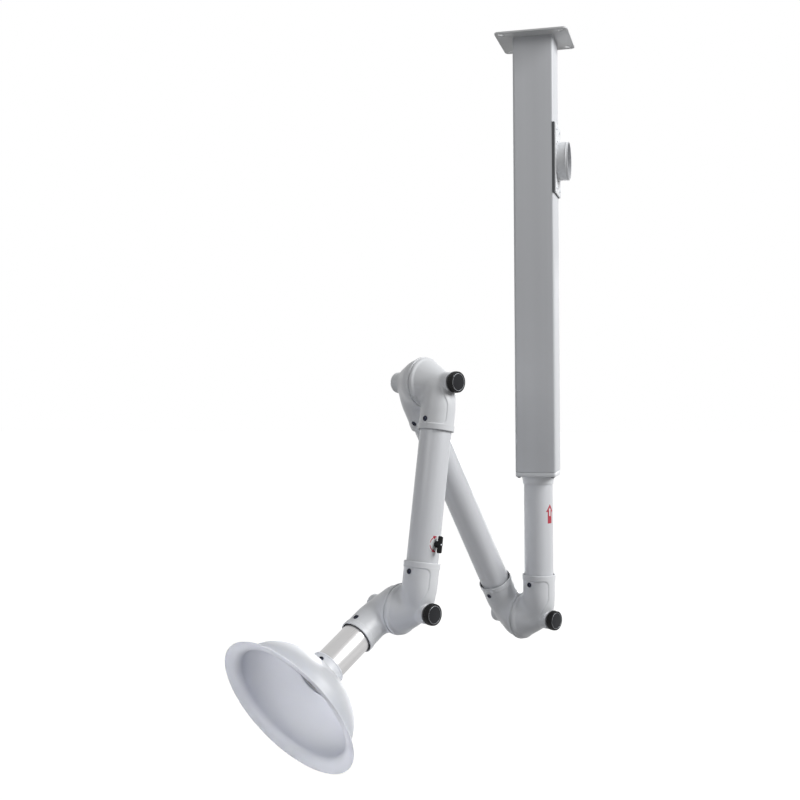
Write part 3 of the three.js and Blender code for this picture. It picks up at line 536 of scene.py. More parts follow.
def rounded(corners, steps=4):
    """Closed profile with each (x, y, radius) corner rounded off."""
    points = []
    for index, (x, y, radius) in enumerate(corners):
        corner = Vector((x, y))
        if not radius:
            points.append(corner)
            continue
        ends = []
        for other in (corners[index - 1], corners[(index + 1) % len(corners)]):
            side = Vector(other[:2]) - corner
            ends.append(corner + side.normalized() * min(radius, side.length * 0.48))
        for step in range(steps + 1):
            share = step / steps
            points.append(
                ends[0] * (1 - share) ** 2 + corner * 2 * share * (1 - share) + ends[1] * share ** 2
            )
    return [(point.x, point.y) for point in points]


def turned(name, profile, place, segments=96):
    """Closed mesh turned about the Z of a place from a closed profile of (radius, height) points.

    Its UV map runs round the piece and along the profile, in metres.
    """
    widest = max(radius for radius, _ in profile)
    points = []
    rows = []
    for radius, height in profile:
        if radius < 1e-7:
            rows.append([len(points)] * segments)
            points.append((0, 0, height))
            continue
        rows.append(list(range(len(points), len(points) + segments)))
        for step in range(segments):
            angle = math.tau * step / segments
            points.append((radius * math.cos(angle), radius * math.sin(angle), height))
    run = [0]
    for index, (radius, height) in enumerate(profile):
        radius_next, height_next = profile[(index + 1) % len(profile)]
        run.append(run[-1] + math.hypot(radius_next - radius, height_next - height))
    faces = []
    layout = []
    for index, row in enumerate(rows):
        row_next = rows[(index + 1) % len(rows)]
        for step in range(segments):
            step_next = (step + 1) % segments
            loop = (
                (row[step], step, index), (row[step_next], step + 1, index),
                (row_next[step_next], step + 1, index + 1), (row_next[step], step, index + 1),
            )
            seen = {}
            for vertex, around, level in loop:
                seen.setdefault(vertex, (around * math.tau / segments * widest, run[level]))
            if len(seen) > 2:
                faces.append(tuple(seen))
                layout.extend(seen.values())
    mesh = bpy.data.meshes.new(name)
    mesh.from_pydata(points, [], faces)
    flat = mesh.uv_layers.new(name="surface")
    flat.data.foreach_set("uv", [value for pair in layout for value in pair])
    close_up(mesh)
    mesh.transform(place)
    shade(mesh)
    return mesh


def pipe(name, inner, outer, low, high, edge, place, segments=96):
    """Plain ring or tube with rounded edges."""
    corners = [(inner, low, edge), (outer, low, edge), (outer, high, edge), (inner, high, edge)]
    return turned(name, rounded(corners), place, segments)


def rectangle(wide, high, radius, centre=(0, 0), turn=0, steps=8):
    """Outline of a rectangle with rounded corners, as points in a plane."""
    outline = []
    for quarter, (sx, sy) in enumerate(((1, 1), (-1, 1), (-1, -1), (1, -1))):
        for step in range(steps + 1):
            angle = math.pi / 2 * (quarter + step / steps)
            x = sx * (wide / 2 - radius) + radius * math.cos(angle)
            y = sy * (high / 2 - radius) + radius * math.sin(angle)
            outline.append((
                centre[0] + x * math.cos(turn) - y * math.sin(turn),
                centre[1] + x * math.sin(turn) + y * math.cos(turn),
            ))
    return outline


def circle(radius, centre=(0, 0), steps=64):
    """Outline of a circle, as points in a plane."""
    angles = [math.tau * step / steps for step in range(steps)]
    return [(centre[0] + radius * math.cos(a), centre[1] + radius * math.sin(a)) for a in angles]


def slab(name, outlines, low, high, edge, place):
    """Flat plate between two heights from an outline and its holes, with rounded edges."""
    shape = bpy.data.curves.new(name, "CURVE")
    shape.dimensions = "2D"
    shape.fill_mode = "BOTH"
    shape.extrude = (high - low) / 2 - edge
    shape.bevel_depth = edge
    shape.bevel_resolution = 2
    shape.offset = -edge
    for outline in outlines:
        spline = shape.splines.new("POLY")
        spline.points.add(len(outline) - 1)
        for point, (x, y) in zip(spline.points, outline):
            point.co = (x, y, 0, 1)
        spline.use_cyclic_u = True
    maker = bpy.data.objects.new(name, shape)
    bpy.context.scene.collection.objects.link(maker)
    mesh = evaluated(maker)
    bpy.data.curves.remove(shape)
    close_up(mesh)
    mesh.transform(place @ Matrix.Translation((0, 0, (low + high) / 2)))
    shade(mesh)
    return mesh


def evaluated(maker):
    """Plain mesh of an object with its modifiers applied. The object goes."""
    bpy.context.view_layer.update()
    graph = bpy.context.evaluated_depsgraph_get()
    mesh = bpy.data.meshes.new_from_object(maker.evaluated_get(graph))
    mesh.name = maker.name
    kept = maker.data if maker.type == "MESH" else None
    bpy.data.objects.remove(maker)
    if kept:
        bpy.data.meshes.remove(kept)
    return mesh


def merged(name, meshes):
    """One mesh out of several."""
    shell = bmesh.new()
    for mesh in meshes:
        shell.from_mesh(mesh)
    joined = bpy.data.meshes.new(name)
    shell.to_mesh(joined)
    shell.free()
    for mesh in meshes:
        bpy.data.meshes.remove(mesh)
    shade(joined)
    return joined


def cut(mesh, tool):
    """Mesh with the shape of a tool taken out of it."""
    body = bpy.data.objects.new(mesh.name, mesh)
    cutter = bpy.data.objects.new("cutter", tool)
    for part in (body, cutter):
        bpy.context.scene.collection.objects.link(part)
    modifier = body.modifiers.new("cut", "BOOLEAN")
    modifier.operation = "DIFFERENCE"
    modifier.solver = "EXACT"
    modifier.object = cutter
    result = evaluated(body)
    bpy.data.objects.remove(cutter)
    bpy.data.meshes.remove(tool)
    shade(result)
    return result


# Moulded forms from distance rules

def soft_union(a, b, blend):
    """Distance to two forms whose meeting line is filled over a blend width."""
    share = np.clip(0.5 + 0.5 * (b - a) / blend, 0, 1)
    return b + (a - b) * share - blend * share * (1 - share)


def soft_cut(a, b, blend):
    """Distance to one form without the other, with the edge rounded over a blend width."""
    return -soft_union(-a, b, blend)


def drum(off_axis, height, radius, low, high, edge):
    """Distance to a cylinder with rounded edges, from the distance to its axis and the height along it."""
    side = off_axis - radius + edge
    end = np.abs(height - (low + high) / 2) - (high - low) / 2 + edge
    return np.hypot(np.maximum(side, 0), np.maximum(end, 0)) + np.minimum(np.maximum(side, end), 0) - edge


def moulded(name, distance, low, high, step):
    """Closed mesh where a distance rule is zero, from a grid between two corners."""
    counts = [int(math.ceil((high[k] - low[k]) / step)) + 1 for k in range(3)]
    axes = [low[k] + step * np.arange(counts[k]) for k in range(3)]
    grid = np.stack(np.meshgrid(*axes, indexing="ij"), -1)
    inside = distance(grid.reshape(-1, 3)).reshape(counts) < 0
    # A cell whose corners are not all on one side holds one point of the surface.
    filled = sum(
        inside[i:counts[0] - 1 + i, j:counts[1] - 1 + j, k:counts[2] - 1 + k].astype(int)
        for i in (0, 1) for j in (0, 1) for k in (0, 1)
    )
    cells = np.argwhere((filled > 0) & (filled < 8))
    number = np.full(filled.shape, -1)
    number[tuple(cells.T)] = np.arange(len(cells))
    centres = np.array(low) + (cells + 0.5) * step
    points = drawn_to(distance, centres, step)
    faces = []
    for axis in range(3):
        side_a, side_b = np.eye(3, dtype=int)[[(axis + 1) % 3, (axis + 2) % 3]]
        ahead = np.roll(inside, -1, axis)
        crossing = inside != ahead
        crossing[tuple(slice(-1, None) if k == axis else slice(None) for k in range(3))] = False
        edges = np.argwhere(crossing)
        start_inside = inside[tuple(edges.T)]
        ring = [number[tuple((edges - shift).T)] for shift in (0 * side_a, side_a, side_a + side_b, side_b)]
        quads = np.stack(ring, -1)
        faces.append(np.where(start_inside[:, None], quads, quads[:, ::-1]))
    mesh = bpy.data.meshes.new(name)
    mesh.from_pydata(points.tolist(), [], np.concatenate(faces).tolist())
    mesh.shade_smooth()
    return mesh


def drawn_to(distance, points, step):
    """Points moved onto the surface of a distance rule, by less than a step."""
    start = points.copy()
    probe = step * 0.05
    for _ in range(6):
        gap = distance(points)
        slope = np.stack(
            [(distance(points + probe * way) - distance(points - probe * way)) / (2 * probe) for way in np.eye(3)], -1
        )
        steep = np.maximum((slope ** 2).sum(-1), 0.2)
        points = points - slope * (gap / steep)[:, None]
        points = start + np.clip(points - start, -0.8 * step, 0.8 * step)
    return points


def elbow_rule(size, tube, knob_side):
    """Distance rule of an elbow: its socket runs up Z, its joint axis is X, its seam faces -X."""
    rim_radius = size.knob_rim_radius if knob_side else size.plain_rim_radius
    rim_edge = size.knob_rim_edge if knob_side else size.plain_rim_edge
    boss_radius = size.knob_boss_radius if knob_side else size.plain_boss_radius
    boss_end = size.knob_boss_end if knob_side else size.plain_boss_end
    boss_round = 1.2 * MM if knob_side else size.plain_boss_round
    bell_at_tube = size.knob_bell if knob_side else size.plain_bell
    fillet = size.knob_fillet if knob_side else size.plain_fillet
    underside = size.knob_floor if knob_side else size.plain_floor
    seam = -SEAM_OFFSET + size.seam_gap / 2
    bell_start = seam + size.rim_width
    bell_length = size.boss_start - bell_start
    at_tube = -bell_start / bell_length
    fall = boss_radius + 1 * MM - size.bell_radius
    bulge = (bell_at_tube - size.bell_radius - fall * at_tube) / (at_tube * (1 - at_tube))
    flow_radius = tube.radius - tube.wall

    def socket(x, y, z, radius, floor):
        deep = size.bend + floor
        below = np.minimum(z - size.bend, 0)
        reach = np.sqrt((x / radius) ** 2 + (y / radius) ** 2 + (below / deep) ** 2)
        bend = np.sqrt((x / radius ** 2) ** 2 + (y / radius ** 2) ** 2 + (below / deep ** 2) ** 2)
        return reach * (reach - 1) / np.maximum(bend, 1e-9)

    def rule(points):
        x, y, z = points.T
        off_joint = np.hypot(y, z)
        off_tube = np.hypot(x, y)
        share = (x - bell_start) / bell_length
        radius = size.bell_radius + fall * share + bulge * share * (1 - share)
        slope = (fall + bulge * (1 - 2 * share)) / bell_length
        lean = 1 / np.sqrt(1 + slope ** 2)
        bell = np.maximum((off_joint - radius) * lean, x - size.boss_start - 12 * MM)
        outside = socket(x, y, z, size.socket_radius, underside)
        outer = soft_union(bell, np.maximum(outside, z - size.mouth + 4 * MM), fillet)
        if knob_side:
            near = np.clip((58 * MM - z) / (36 * MM), 0, 1)
            half = size.spine_width / 2 + size.spine_flare / 2 * near * near * (3 - 2 * near)
            strip = np.maximum(np.maximum(np.abs(y) - half, -x), 12 * MM - z)
            framed = soft_union(strip, size.mouth - size.collar_height - z, size.spine_corner)
            framed = np.maximum(framed, z - size.mouth + size.collar_height - 2 * MM)
            spine = soft_cut(outside - size.spine_height, -framed, 1.6 * MM)
            outer = soft_union(outer, spine, 1.2 * MM)
        outer = soft_union(outer, drum(off_joint, x, boss_radius, 0, boss_end, boss_round), size.boss_fillet)
        rim = drum(off_joint, x, rim_radius, seam, seam + size.rim_width + rim_edge, rim_edge)
        outer = soft_union(outer, rim, 4 * MM)
        collar = drum(off_tube, z, size.collar_radius, size.mouth - size.collar_height, size.mouth, 1.2 * MM)
        outer = soft_union(outer, collar, 1 * MM)
        outer = soft_cut(outer, x - seam, 0.8 * MM)
        air = socket(x, y, z, flow_radius, underside - size.wall)
        hollow = np.maximum((off_joint - radius) * lean + size.wall, x + size.wall)
        inner = soft_union(np.maximum(air, z - size.mouth - 5 * MM), hollow, 2 * MM)
        seat = drum(off_tube, z, tube.radius + 0.3 * MM, size.mouth - size.socket_depth, size.mouth + 0.03, 0.2 * MM)
        groove_radius = tube.radius + tube.seal_wall + 0.6 * MM
        groove = drum(off_tube, z, groove_radius, size.mouth - tube.seal_depth, size.mouth + 0.03, 0.2 * MM)
        return soft_cut(outer, np.minimum(np.minimum(inner, seat), groove), 0.5 * MM)

    return rule


# Geometry Nodes trees

def new_tree(name, lengths, others=()):
    """Geometry tree with named inputs for its sizes, and its input and output nodes."""
    tree = bpy.data.node_groups.new(name, "GeometryNodeTree")
    tree.interface.new_socket("Geometry", in_out="INPUT", socket_type="NodeSocketGeometry")
    for label, value in lengths:
        socket = tree.interface.new_socket(label, in_out="INPUT", socket_type="NodeSocketFloat")
        socket.subtype = "DISTANCE"
        socket.default_value = value
    for label, kind in others:
        tree.interface.new_socket(label, in_out="INPUT", socket_type=kind)
    tree.interface.new_socket("Geometry", in_out="OUTPUT", socket_type="NodeSocketGeometry")
    return tree, add_node(tree, "NodeGroupInput").outputs


def end_tree(tree, instances, material):
    """Closes a tree: its instances become real and get their material."""
    real = add_node(tree, "GeometryNodeRealizeInstances", {}, {"Geometry": instances})
    coloured = add_node(
        tree, "GeometryNodeSetMaterial", {}, {"Geometry": real.outputs["Geometry"], "Material": material}
    )
    add_node(tree, "NodeGroupOutput", {}, {"Geometry": coloured.outputs["Geometry"]})
    return tree


def run_tree(name, tree, values, points=((0, 0, 0),), ways=None):
    """Plain mesh that a tree makes from some points, with its inputs set by their identifiers."""
    mesh = bpy.data.meshes.new(name)
    mesh.from_pydata(list(points), [], [])
    if ways:
        facing = mesh.attributes.new("way", "FLOAT_VECTOR", "POINT")
        facing.data.foreach_set("vector", [value for way in ways for value in way])
    maker = bpy.data.objects.new(name, mesh)
    modifier = maker.modifiers.new(tree.name, "NODES")
    modifier.node_group = tree
    for item in tree.interface.items_tree:
        if item.in_out == "INPUT" and item.name in values:
            modifier[item.identifier] = values[item.name]
    bpy.context.scene.collection.objects.link(maker)
    result = evaluated(maker)
    shade(result)
    return result


def screw_tree():
    """Tree that puts a domed socket-head screw on each point, facing its way."""
    name = "domed_screws"
    if name in bpy.data.node_groups:
        return bpy.data.node_groups[name]
    tree, given = new_tree(
        name,
        (("Head radius", 5 * MM), ("Head height", 3 * MM), ("Socket radius", 2 * MM), ("Socket depth", 1.5 * MM)),
        (("Material", "NodeSocketMaterial"),),
    )
    form = add_node(
        tree, "ShaderNodeCombineXYZ", {},
        {"X": given["Head radius"], "Y": given["Head radius"], "Z": given["Head height"]},
    )
    ball = add_node(tree, "GeometryNodeMeshUVSphere", {}, {"Segments": 40, "Rings": 28, "Radius": 1.0})
    squashed = add_node(
        tree, "GeometryNodeTransform", {}, {"Geometry": ball.outputs["Mesh"], "Scale": form.outputs["Vector"]}
    )
    place = add_node(tree, "GeometryNodeInputPosition")
    parts = add_node(tree, "ShaderNodeSeparateXYZ", {}, {"Vector": place.outputs["Position"]})
    above = add_node(tree, "ShaderNodeMath", {"operation": "MAXIMUM"}, {0: parts.outputs["Z"], 1: 0.0})
    cut_off = add_node(
        tree, "ShaderNodeCombineXYZ", {},
        {"X": parts.outputs["X"], "Y": parts.outputs["Y"], "Z": above.outputs[0]},
    )
    dome = add_node(
        tree, "GeometryNodeSetPosition", {},
        {"Geometry": squashed.outputs["Geometry"], "Position": cut_off.outputs["Vector"]},
    )
    high = add_node(tree, "ShaderNodeCombineXYZ", {}, {"Z": given["Head height"]})
    key_depth = add_node(
        tree, "ShaderNodeMath", {"operation": "MULTIPLY"}, {0: given["Socket depth"], 1: 2.0}
    )
    key = add_node(
        tree, "GeometryNodeMeshCylinder", {},
        {"Vertices": 6, "Radius": given["Socket radius"], "Depth": key_depth.outputs[0]},
    )
    key_high = add_node(
        tree, "GeometryNodeTransform", {},
        {"Geometry": key.outputs["Mesh"], "Translation": high.outputs["Vector"]},
    )
    socketed = add_node(
        tree, "GeometryNodeMeshBoolean", {"operation": "DIFFERENCE", "solver": "EXACT"},
        {"Mesh 1": dome.outputs["Geometry"], "Mesh 2": key_high.outputs["Geometry"]},
    )
    way = add_node(tree, "GeometryNodeInputNamedAttribute", {"data_type": "FLOAT_VECTOR"}, {"Name": "way"})
    facing = add_node(
        tree, "FunctionNodeAlignRotationToVector", {"axis": "Z"}, {"Vector": way.outputs["Attribute"]}
    )
    screws = add_node(
        tree, "GeometryNodeInstanceOnPoints", {},
        {
            "Points": given["Geometry"],
            "Instance": socketed.outputs["Mesh"],
            "Rotation": facing.outputs["Rotation"],
        },
    )
    return end_tree(tree, screws.outputs["Instances"], given["Material"])


def rib_tree():
    """Tree that sets rounded ribs in a ring about Z, each along Z."""
    name = "ring_of_ribs"
    if name in bpy.data.node_groups:
        return bpy.data.node_groups[name]
    tree, given = new_tree(
        name,
        (("Ring radius", 25 * MM), ("Rib radius", 1 * MM), ("Rib length", 10 * MM)),
        (("Count", "NodeSocketInt"), ("Material", "NodeSocketMaterial")),
    )
    ring = add_node(tree, "GeometryNodeMeshCircle", {}, {"Vertices": given["Count"], "Radius": given["Ring radius"]})
    ball = add_node(tree, "GeometryNodeMeshUVSphere", {}, {"Segments": 12, "Rings": 8, "Radius": 1.0})
    half = add_node(tree, "ShaderNodeMath", {"operation": "MULTIPLY"}, {0: given["Rib length"], 1: 0.5})
    form = add_node(
        tree, "ShaderNodeCombineXYZ", {},
        {"X": given["Rib radius"], "Y": given["Rib radius"], "Z": half.outputs[0]},
    )
    ribs = add_node(
        tree, "GeometryNodeInstanceOnPoints", {},
        {"Points": ring.outputs["Mesh"], "Instance": ball.outputs["Mesh"], "Scale": form.outputs["Vector"]},
    )
    return end_tree(tree, ribs.outputs["Instances"], given["Material"])


def screws(name, nodes, axis_ways, material, body, slot, head, key):
    """Domed screws in place of some screw solids, each facing its way with the solid's own reach."""
    points = []
    for node, way in zip(nodes, axis_ways):
        centre = middle(node)
        points.append(centre + way * (along(node, centre, way)[1] - head[1]))
    values = {
        "Head radius": head[0], "Head height": head[1], "Socket radius": key[0], "Socket depth": key[1],
        "Material": material,
    }
    mesh = run_tree(name, screw_tree(), values, points, axis_ways)
    return add_piece(name, mesh, material, body, slot, nodes)


def ribs(name, place, radius, rib, rib_length, count, material):
    """Mesh of a ring of ribs about the Z of a place."""
    values = {"Ring radius": radius, "Rib radius": rib, "Rib length": rib_length, "Count": count, "Material": material}
    mesh = run_tree(name, rib_tree(), values)
    mesh.transform(place)
    return mesh


# Printed films

def film(name, ladder, wrap, thickness, columns=6):
    """Thin closed film over a ladder of paired points in a plane, wrapped onto a surface."""
    rows = len(ladder)
    points = []
    for level in (0.03 * MM, 0.03 * MM + thickness):
        for left, right in ladder:
            for column in range(columns + 1):
                share = column / columns
                x = left[0] + (right[0] - left[0]) * share
                y = left[1] + (right[1] - left[1]) * share
                points.append(wrap(x, y, level))
    wide = columns + 1
    top = rows * wide
    faces = []
    for row in range(rows - 1):
        for column in range(columns):
            a = row * wide + column
            faces.append((a, a + 1, a + wide + 1, a + wide))
            faces.append((top + a, top + a + wide, top + a + wide + 1, top + a + 1))
    border = [column for column in range(wide)]
    border += [row * wide + columns for row in range(1, rows)]
    border += [(rows - 1) * wide + column for column in range(columns - 1, -1, -1)]
    border += [row * wide for row in range(rows - 2, 0, -1)]
    for index, a in enumerate(border):
        b = border[(index + 1) % len(border)]
        faces.append((a, top + a, top + b, b))
    mesh = bpy.data.meshes.new(name)
    mesh.from_pydata(points, [], faces)
    close_up(mesh)
    shade(mesh)
    return mesh


def on_tube(place, radius):
    """Wrap onto a tube along the Z of a place: x runs along the tube and y round it, from the place's X."""
    def wrap(x, y, level):
        angle = y / radius
        reach = radius + level
        return place @ Vector((reach * math.cos(angle), reach * math.sin(angle), x))
    return wrap


# Operators

class BuildOperator:
    """Common parts of the operators that build pieces."""

    bl_options = {"REGISTER", "UNDO"}

    def execute(self, context):
        self.build(context.scene.fume_arm)
        return {"FINISHED"}


class FUME_ARM_OT_ceiling_plate(BuildOperator, bpy.types.Operator):
    """Pressed ceiling plate with four fixing slots and its screws"""

    bl_idname = "fume_arm.ceiling_plate"
    bl_label = "Ceiling plate"

    def build(self, arm):
        low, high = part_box("ceiling_plate")
        side = high.x - low.x
        size = arm.mount
        at = side / 2 - size.slot_inset
        outlines = [rectangle(side, side, size.plate_corner)]
        for sx, sy in ((1, 1), (-1, 1), (-1, -1), (1, -1)):
            turn = math.radians(45 * sx * sy)
            outlines.append(
                rectangle(size.slot_length, size.slot_width, size.slot_width * 0.498, (sx * at, sy * at), turn)
            )
        mesh = slab("plate_pressing", outlines, low.z, high.z, size.plate_edge, Matrix())
        add_piece("plate_pressing", mesh, powder_coat(), "mount", "painted_steel", ["ceiling_plate"])
        nodes = [f"plate_screw_{number}" for number in range(1, 5)]
        screws("plate_screws", nodes, [UP] * 4, dark_steel(), "mount", "dark_steel", (5 * MM, 2.4 * MM), (2 * MM, 1.2 * MM))


class FUME_ARM_OT_column(BuildOperator, bpy.types.Operator):
    """Square column extrusion with the window behind the duct spigot"""

    bl_idname = "fume_arm.column"
    bl_label = "Column"

    def build(self, arm):
        low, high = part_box("column")
        side = high.x - low.x
        size = arm.mount
        inside = side - 2 * size.column_wall
        outlines = [
            rectangle(side, side, size.column_corner),
            rectangle(inside, inside, size.column_corner - size.column_wall),
        ]
        mesh = slab("column_extrusion", outlines, low.z, high.z, 0.4 * MM, Matrix())
        window_place = placed(Vector((side / 2 - size.column_wall * 2, 0, -size.duct_drop)), Vector((1, 0, 0)), -UP)
        corners = [(0, 0, 0), (size.window_radius, 0, 0), (size.window_radius, 20 * MM, 0), (0, 20 * MM, 0)]
        tool = turned("window", rounded(corners), window_place)
        column = cut(mesh, tool)
        spread_along(column, UP)
        # The column's coat carries broad dark bands of painted shade along its length.
        add_piece("column_extrusion", column, column_coat(), "mount", "coated_aluminium", ["column"])


def spread_along(mesh, way):
    """UV map in metres for a straight piece: across its section and along its length."""
    flat = mesh.uv_layers.get("surface") or mesh.uv_layers.new(name="surface")
    values = []
    for loop in mesh.loops:
        point = mesh.vertices[loop.vertex_index].co
        values += (point.x + 1.7 * point.y, point.dot(way))
    flat.data.foreach_set("uv", values)


class FUME_ARM_OT_duct_adaptor(BuildOperator, bpy.types.Operator):
    """Duct adaptor plate with its spigot, rubber gasket and screws"""

    bl_idname = "fume_arm.duct_adaptor"
    bl_label = "Duct adaptor"

    def build(self, arm):
        low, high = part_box("duct_adaptor")
        size = arm.mount
        face = low.x + 3 * MM
        bore = size.spigot_radius - size.spigot_wall
        middle_z = (low.z + high.z) / 2
        place = placed(Vector((0, 0, 0)), Vector((1, 0, 0)), -UP)
        outlines = [
            rectangle(high.z - low.z, high.y - low.y, size.adaptor_corner, (-middle_z, 0)),
            circle(bore, (size.duct_drop, 0), 96),
        ]
        plate = slab("adaptor_plate", outlines, low.x, face, 0.5 * MM, place)
        fillet = size.spigot_fillet
        radius = size.spigot_radius
        bead = 1.2 * MM
        profile = rounded([
            (bore, low.x + 0.6 * MM, 0), (radius + fillet, low.x + 0.6 * MM, 0), (radius + fillet, face, 0),
            (radius, face, fillet), (radius, high.x - 7 * MM, 0.8 * MM), (radius + bead, high.x - 5.4 * MM, 0.8 * MM),
            (radius, high.x - 3.8 * MM, 0.8 * MM), (radius, high.x, 0.6 * MM), (bore, high.x, 0.6 * MM),
        ])
        spigot_place = Matrix.Translation((0, 0, -size.duct_drop)) @ place
        spigot = turned("adaptor_spigot", profile, spigot_place, 128)
        mesh = merged("adaptor_moulding", [plate, spigot])
        add_piece("adaptor_moulding", mesh, white_plastic(), "mount", "white_plastic", ["duct_adaptor"])
        nodes = [f"duct_screw_{number}" for number in range(1, 5)]
        head = (4 * MM, 2.2 * MM)
        screws("duct_screws", nodes, [Vector((1, 0, 0))] * 4, bright_steel(), "mount", "bright_steel", head, (1.6 * MM, 1.1 * MM))
        # The gasket's dark grey is painted shade in the gap between the column's corner and the plate.
        frame["nodes"]["duct_gasket"].material_slots[0].material = gasket_rubber_painted_shade()


class FUME_ARM_OT_end_cap(BuildOperator, bpy.types.Operator):
    """End cap at the column's foot with its screws and the flared bearing bush"""

    bl_idname = "fume_arm.end_cap"
    bl_label = "End cap"

    def build(self, arm):
        low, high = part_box("end_cap")
        side = high.x - low.x
        size = arm.mount
        sleeve = arm.tube.radius + 4.3 * MM
        outlines = [rectangle(side, side, size.column_corner), circle(sleeve, steps=96)]
        mesh = slab("cap_moulding", outlines, low.z, high.z, size.cap_round, Matrix())
        add_piece("cap_moulding", mesh, white_plastic(), "mount", "white_plastic", ["end_cap"])
        nodes = [f"cap_screw_{number}" for number in range(1, 5)]
        head = (5 * MM, 3 * MM)
        screws("cap_screws", nodes, [-UP] * 4, dark_steel(), "mount", "dark_steel", head, (2.3 * MM, 1.6 * MM))
        bush_low, bush_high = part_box("swivel_bush")
        bore = arm.tube.radius + 0.8 * MM
        outer = bore + 3.2 * MM
        profile = rounded([
            (bore, bush_low.z, 0.5 * MM), (bore + 1.4 * MM, bush_low.z, 0.5 * MM),
            (bore + 1.8 * MM, bush_low.z + 9 * MM, 6 * MM), (outer + 2 * MM, low.z - 1.5 * MM, 1 * MM),
            (outer + 2 * MM, low.z - 0.3 * MM, 0.3 * MM), (outer, low.z - 0.3 * MM, 0), (outer, bush_high.z, 0),
            (bore, bush_high.z, 0.5 * MM),
        ])
        bush = turned("bush_sleeve", profile, Matrix(), 128)
        add_piece("bush_sleeve", bush, white_plastic(), "mount", "white_plastic", ["swivel_bush"])


class FUME_ARM_OT_tubes(BuildOperator, bpy.types.Operator):
    """Drop tube, two arm tubes and the short hood tube"""

    bl_idname = "fume_arm.tubes"
    bl_label = "Tubes"

    def build(self, arm):
        rear_hub = BASE_SEAM - SEAM_OFFSET * TO_KNOBS
        front_hub = MIDDLE_SEAM + SEAM_OFFSET * TO_KNOBS
        layout = (
            ("drop", "drop", Vector(), UP, coated_aluminium, "coated_aluminium"),
            ("rear", "rear_arm", rear_hub, REAR_WAY, coated_aluminium, "coated_aluminium"),
            ("front", "front_arm", front_hub, FRONT_WAY, coated_aluminium, "coated_aluminium"),
            ("hood", "hood_head", HOOD_HUB, HOOD_WAY, bare_aluminium, "bare_aluminium"),
        )
        size = arm.tube
        for stem, body, hub, way, material, slot in layout:
            node = f"{stem}_tube"
            low, high = along(node, hub, way)
            place = placed(hub, way, TO_KNOBS)
            mesh = pipe(f"{stem}_tubing", size.radius - size.wall, size.radius, low, high, size.edge, place, 128)
            add_piece(f"{stem}_tubing", mesh, material(), body, slot, [node])


class FUME_ARM_OT_elbows(BuildOperator, bpy.types.Operator):
    """Six elbow mouldings with the rubber rings in their mouths and their collar screws"""

    bl_idname = "fume_arm.elbows"
    bl_label = "Elbows"

    def build(self, arm):
        size = arm.elbow
        tube = arm.tube
        margin = 4 * MM
        wide = size.plain_rim_radius + margin
        low = (-SEAM_OFFSET - margin, -wide, -wide)
        high = (size.plain_boss_end + margin, wide, size.mouth + margin)
        forms = {
            1: moulded("knob_elbow", elbow_rule(size, tube, True), low, high, size.grain),
            -1: moulded("plain_elbow", elbow_rule(size, tube, False), low, high, size.grain),
        }
        collar_screws = {}
        for stem, body, seam, side, mouth, screw_side in ELBOWS:
            hub = seam + side * SEAM_OFFSET * TO_KNOBS
            place = placed(hub, mouth, side * TO_KNOBS)
            mesh = forms[side].copy()
            mesh.name = f"{stem}_moulding"
            mesh.transform(place)
            add_piece(f"{stem}_moulding", mesh, white_plastic(), body, "white_plastic", [f"{stem}_elbow"])
            seal = pipe(
                f"{stem}_mouth_ring", tube.radius + 0.25 * MM, tube.radius + tube.seal_wall + 0.2 * MM,
                size.mouth - tube.seal_depth + 0.3 * MM, size.mouth - tube.seal_back, 0.8 * MM, place,
            )
            add_piece(f"{stem}_mouth_ring", seal, rubber(), body, "black_rubber", [f"{stem}_tube_seal"])
            way = screw_side * mouth.cross(side * TO_KNOBS)
            collar_screws.setdefault(body, []).append((f"{stem}_collar_screw", way))
        for form in forms.values():
            bpy.data.meshes.remove(form)
        off_axis = middle("hood_screw") - HOOD_HUB
        off_axis -= HOOD_WAY * off_axis.dot(HOOD_WAY)
        collar_screws["hood_head"].append(("hood_screw", off_axis.normalized()))
        for body, found in collar_screws.items():
            nodes = [node for node, _ in found]
            ways = [way for _, way in found]
            head = (6.5 * MM, 3.4 * MM)
            # The collar screws' dark colour is a painted reflection on their shiny heads.
            screws(f"{body}_screws", nodes, ways, screw_painted_dark_reflection(), body, "bright_steel", head, (2.6 * MM, 2 * MM))


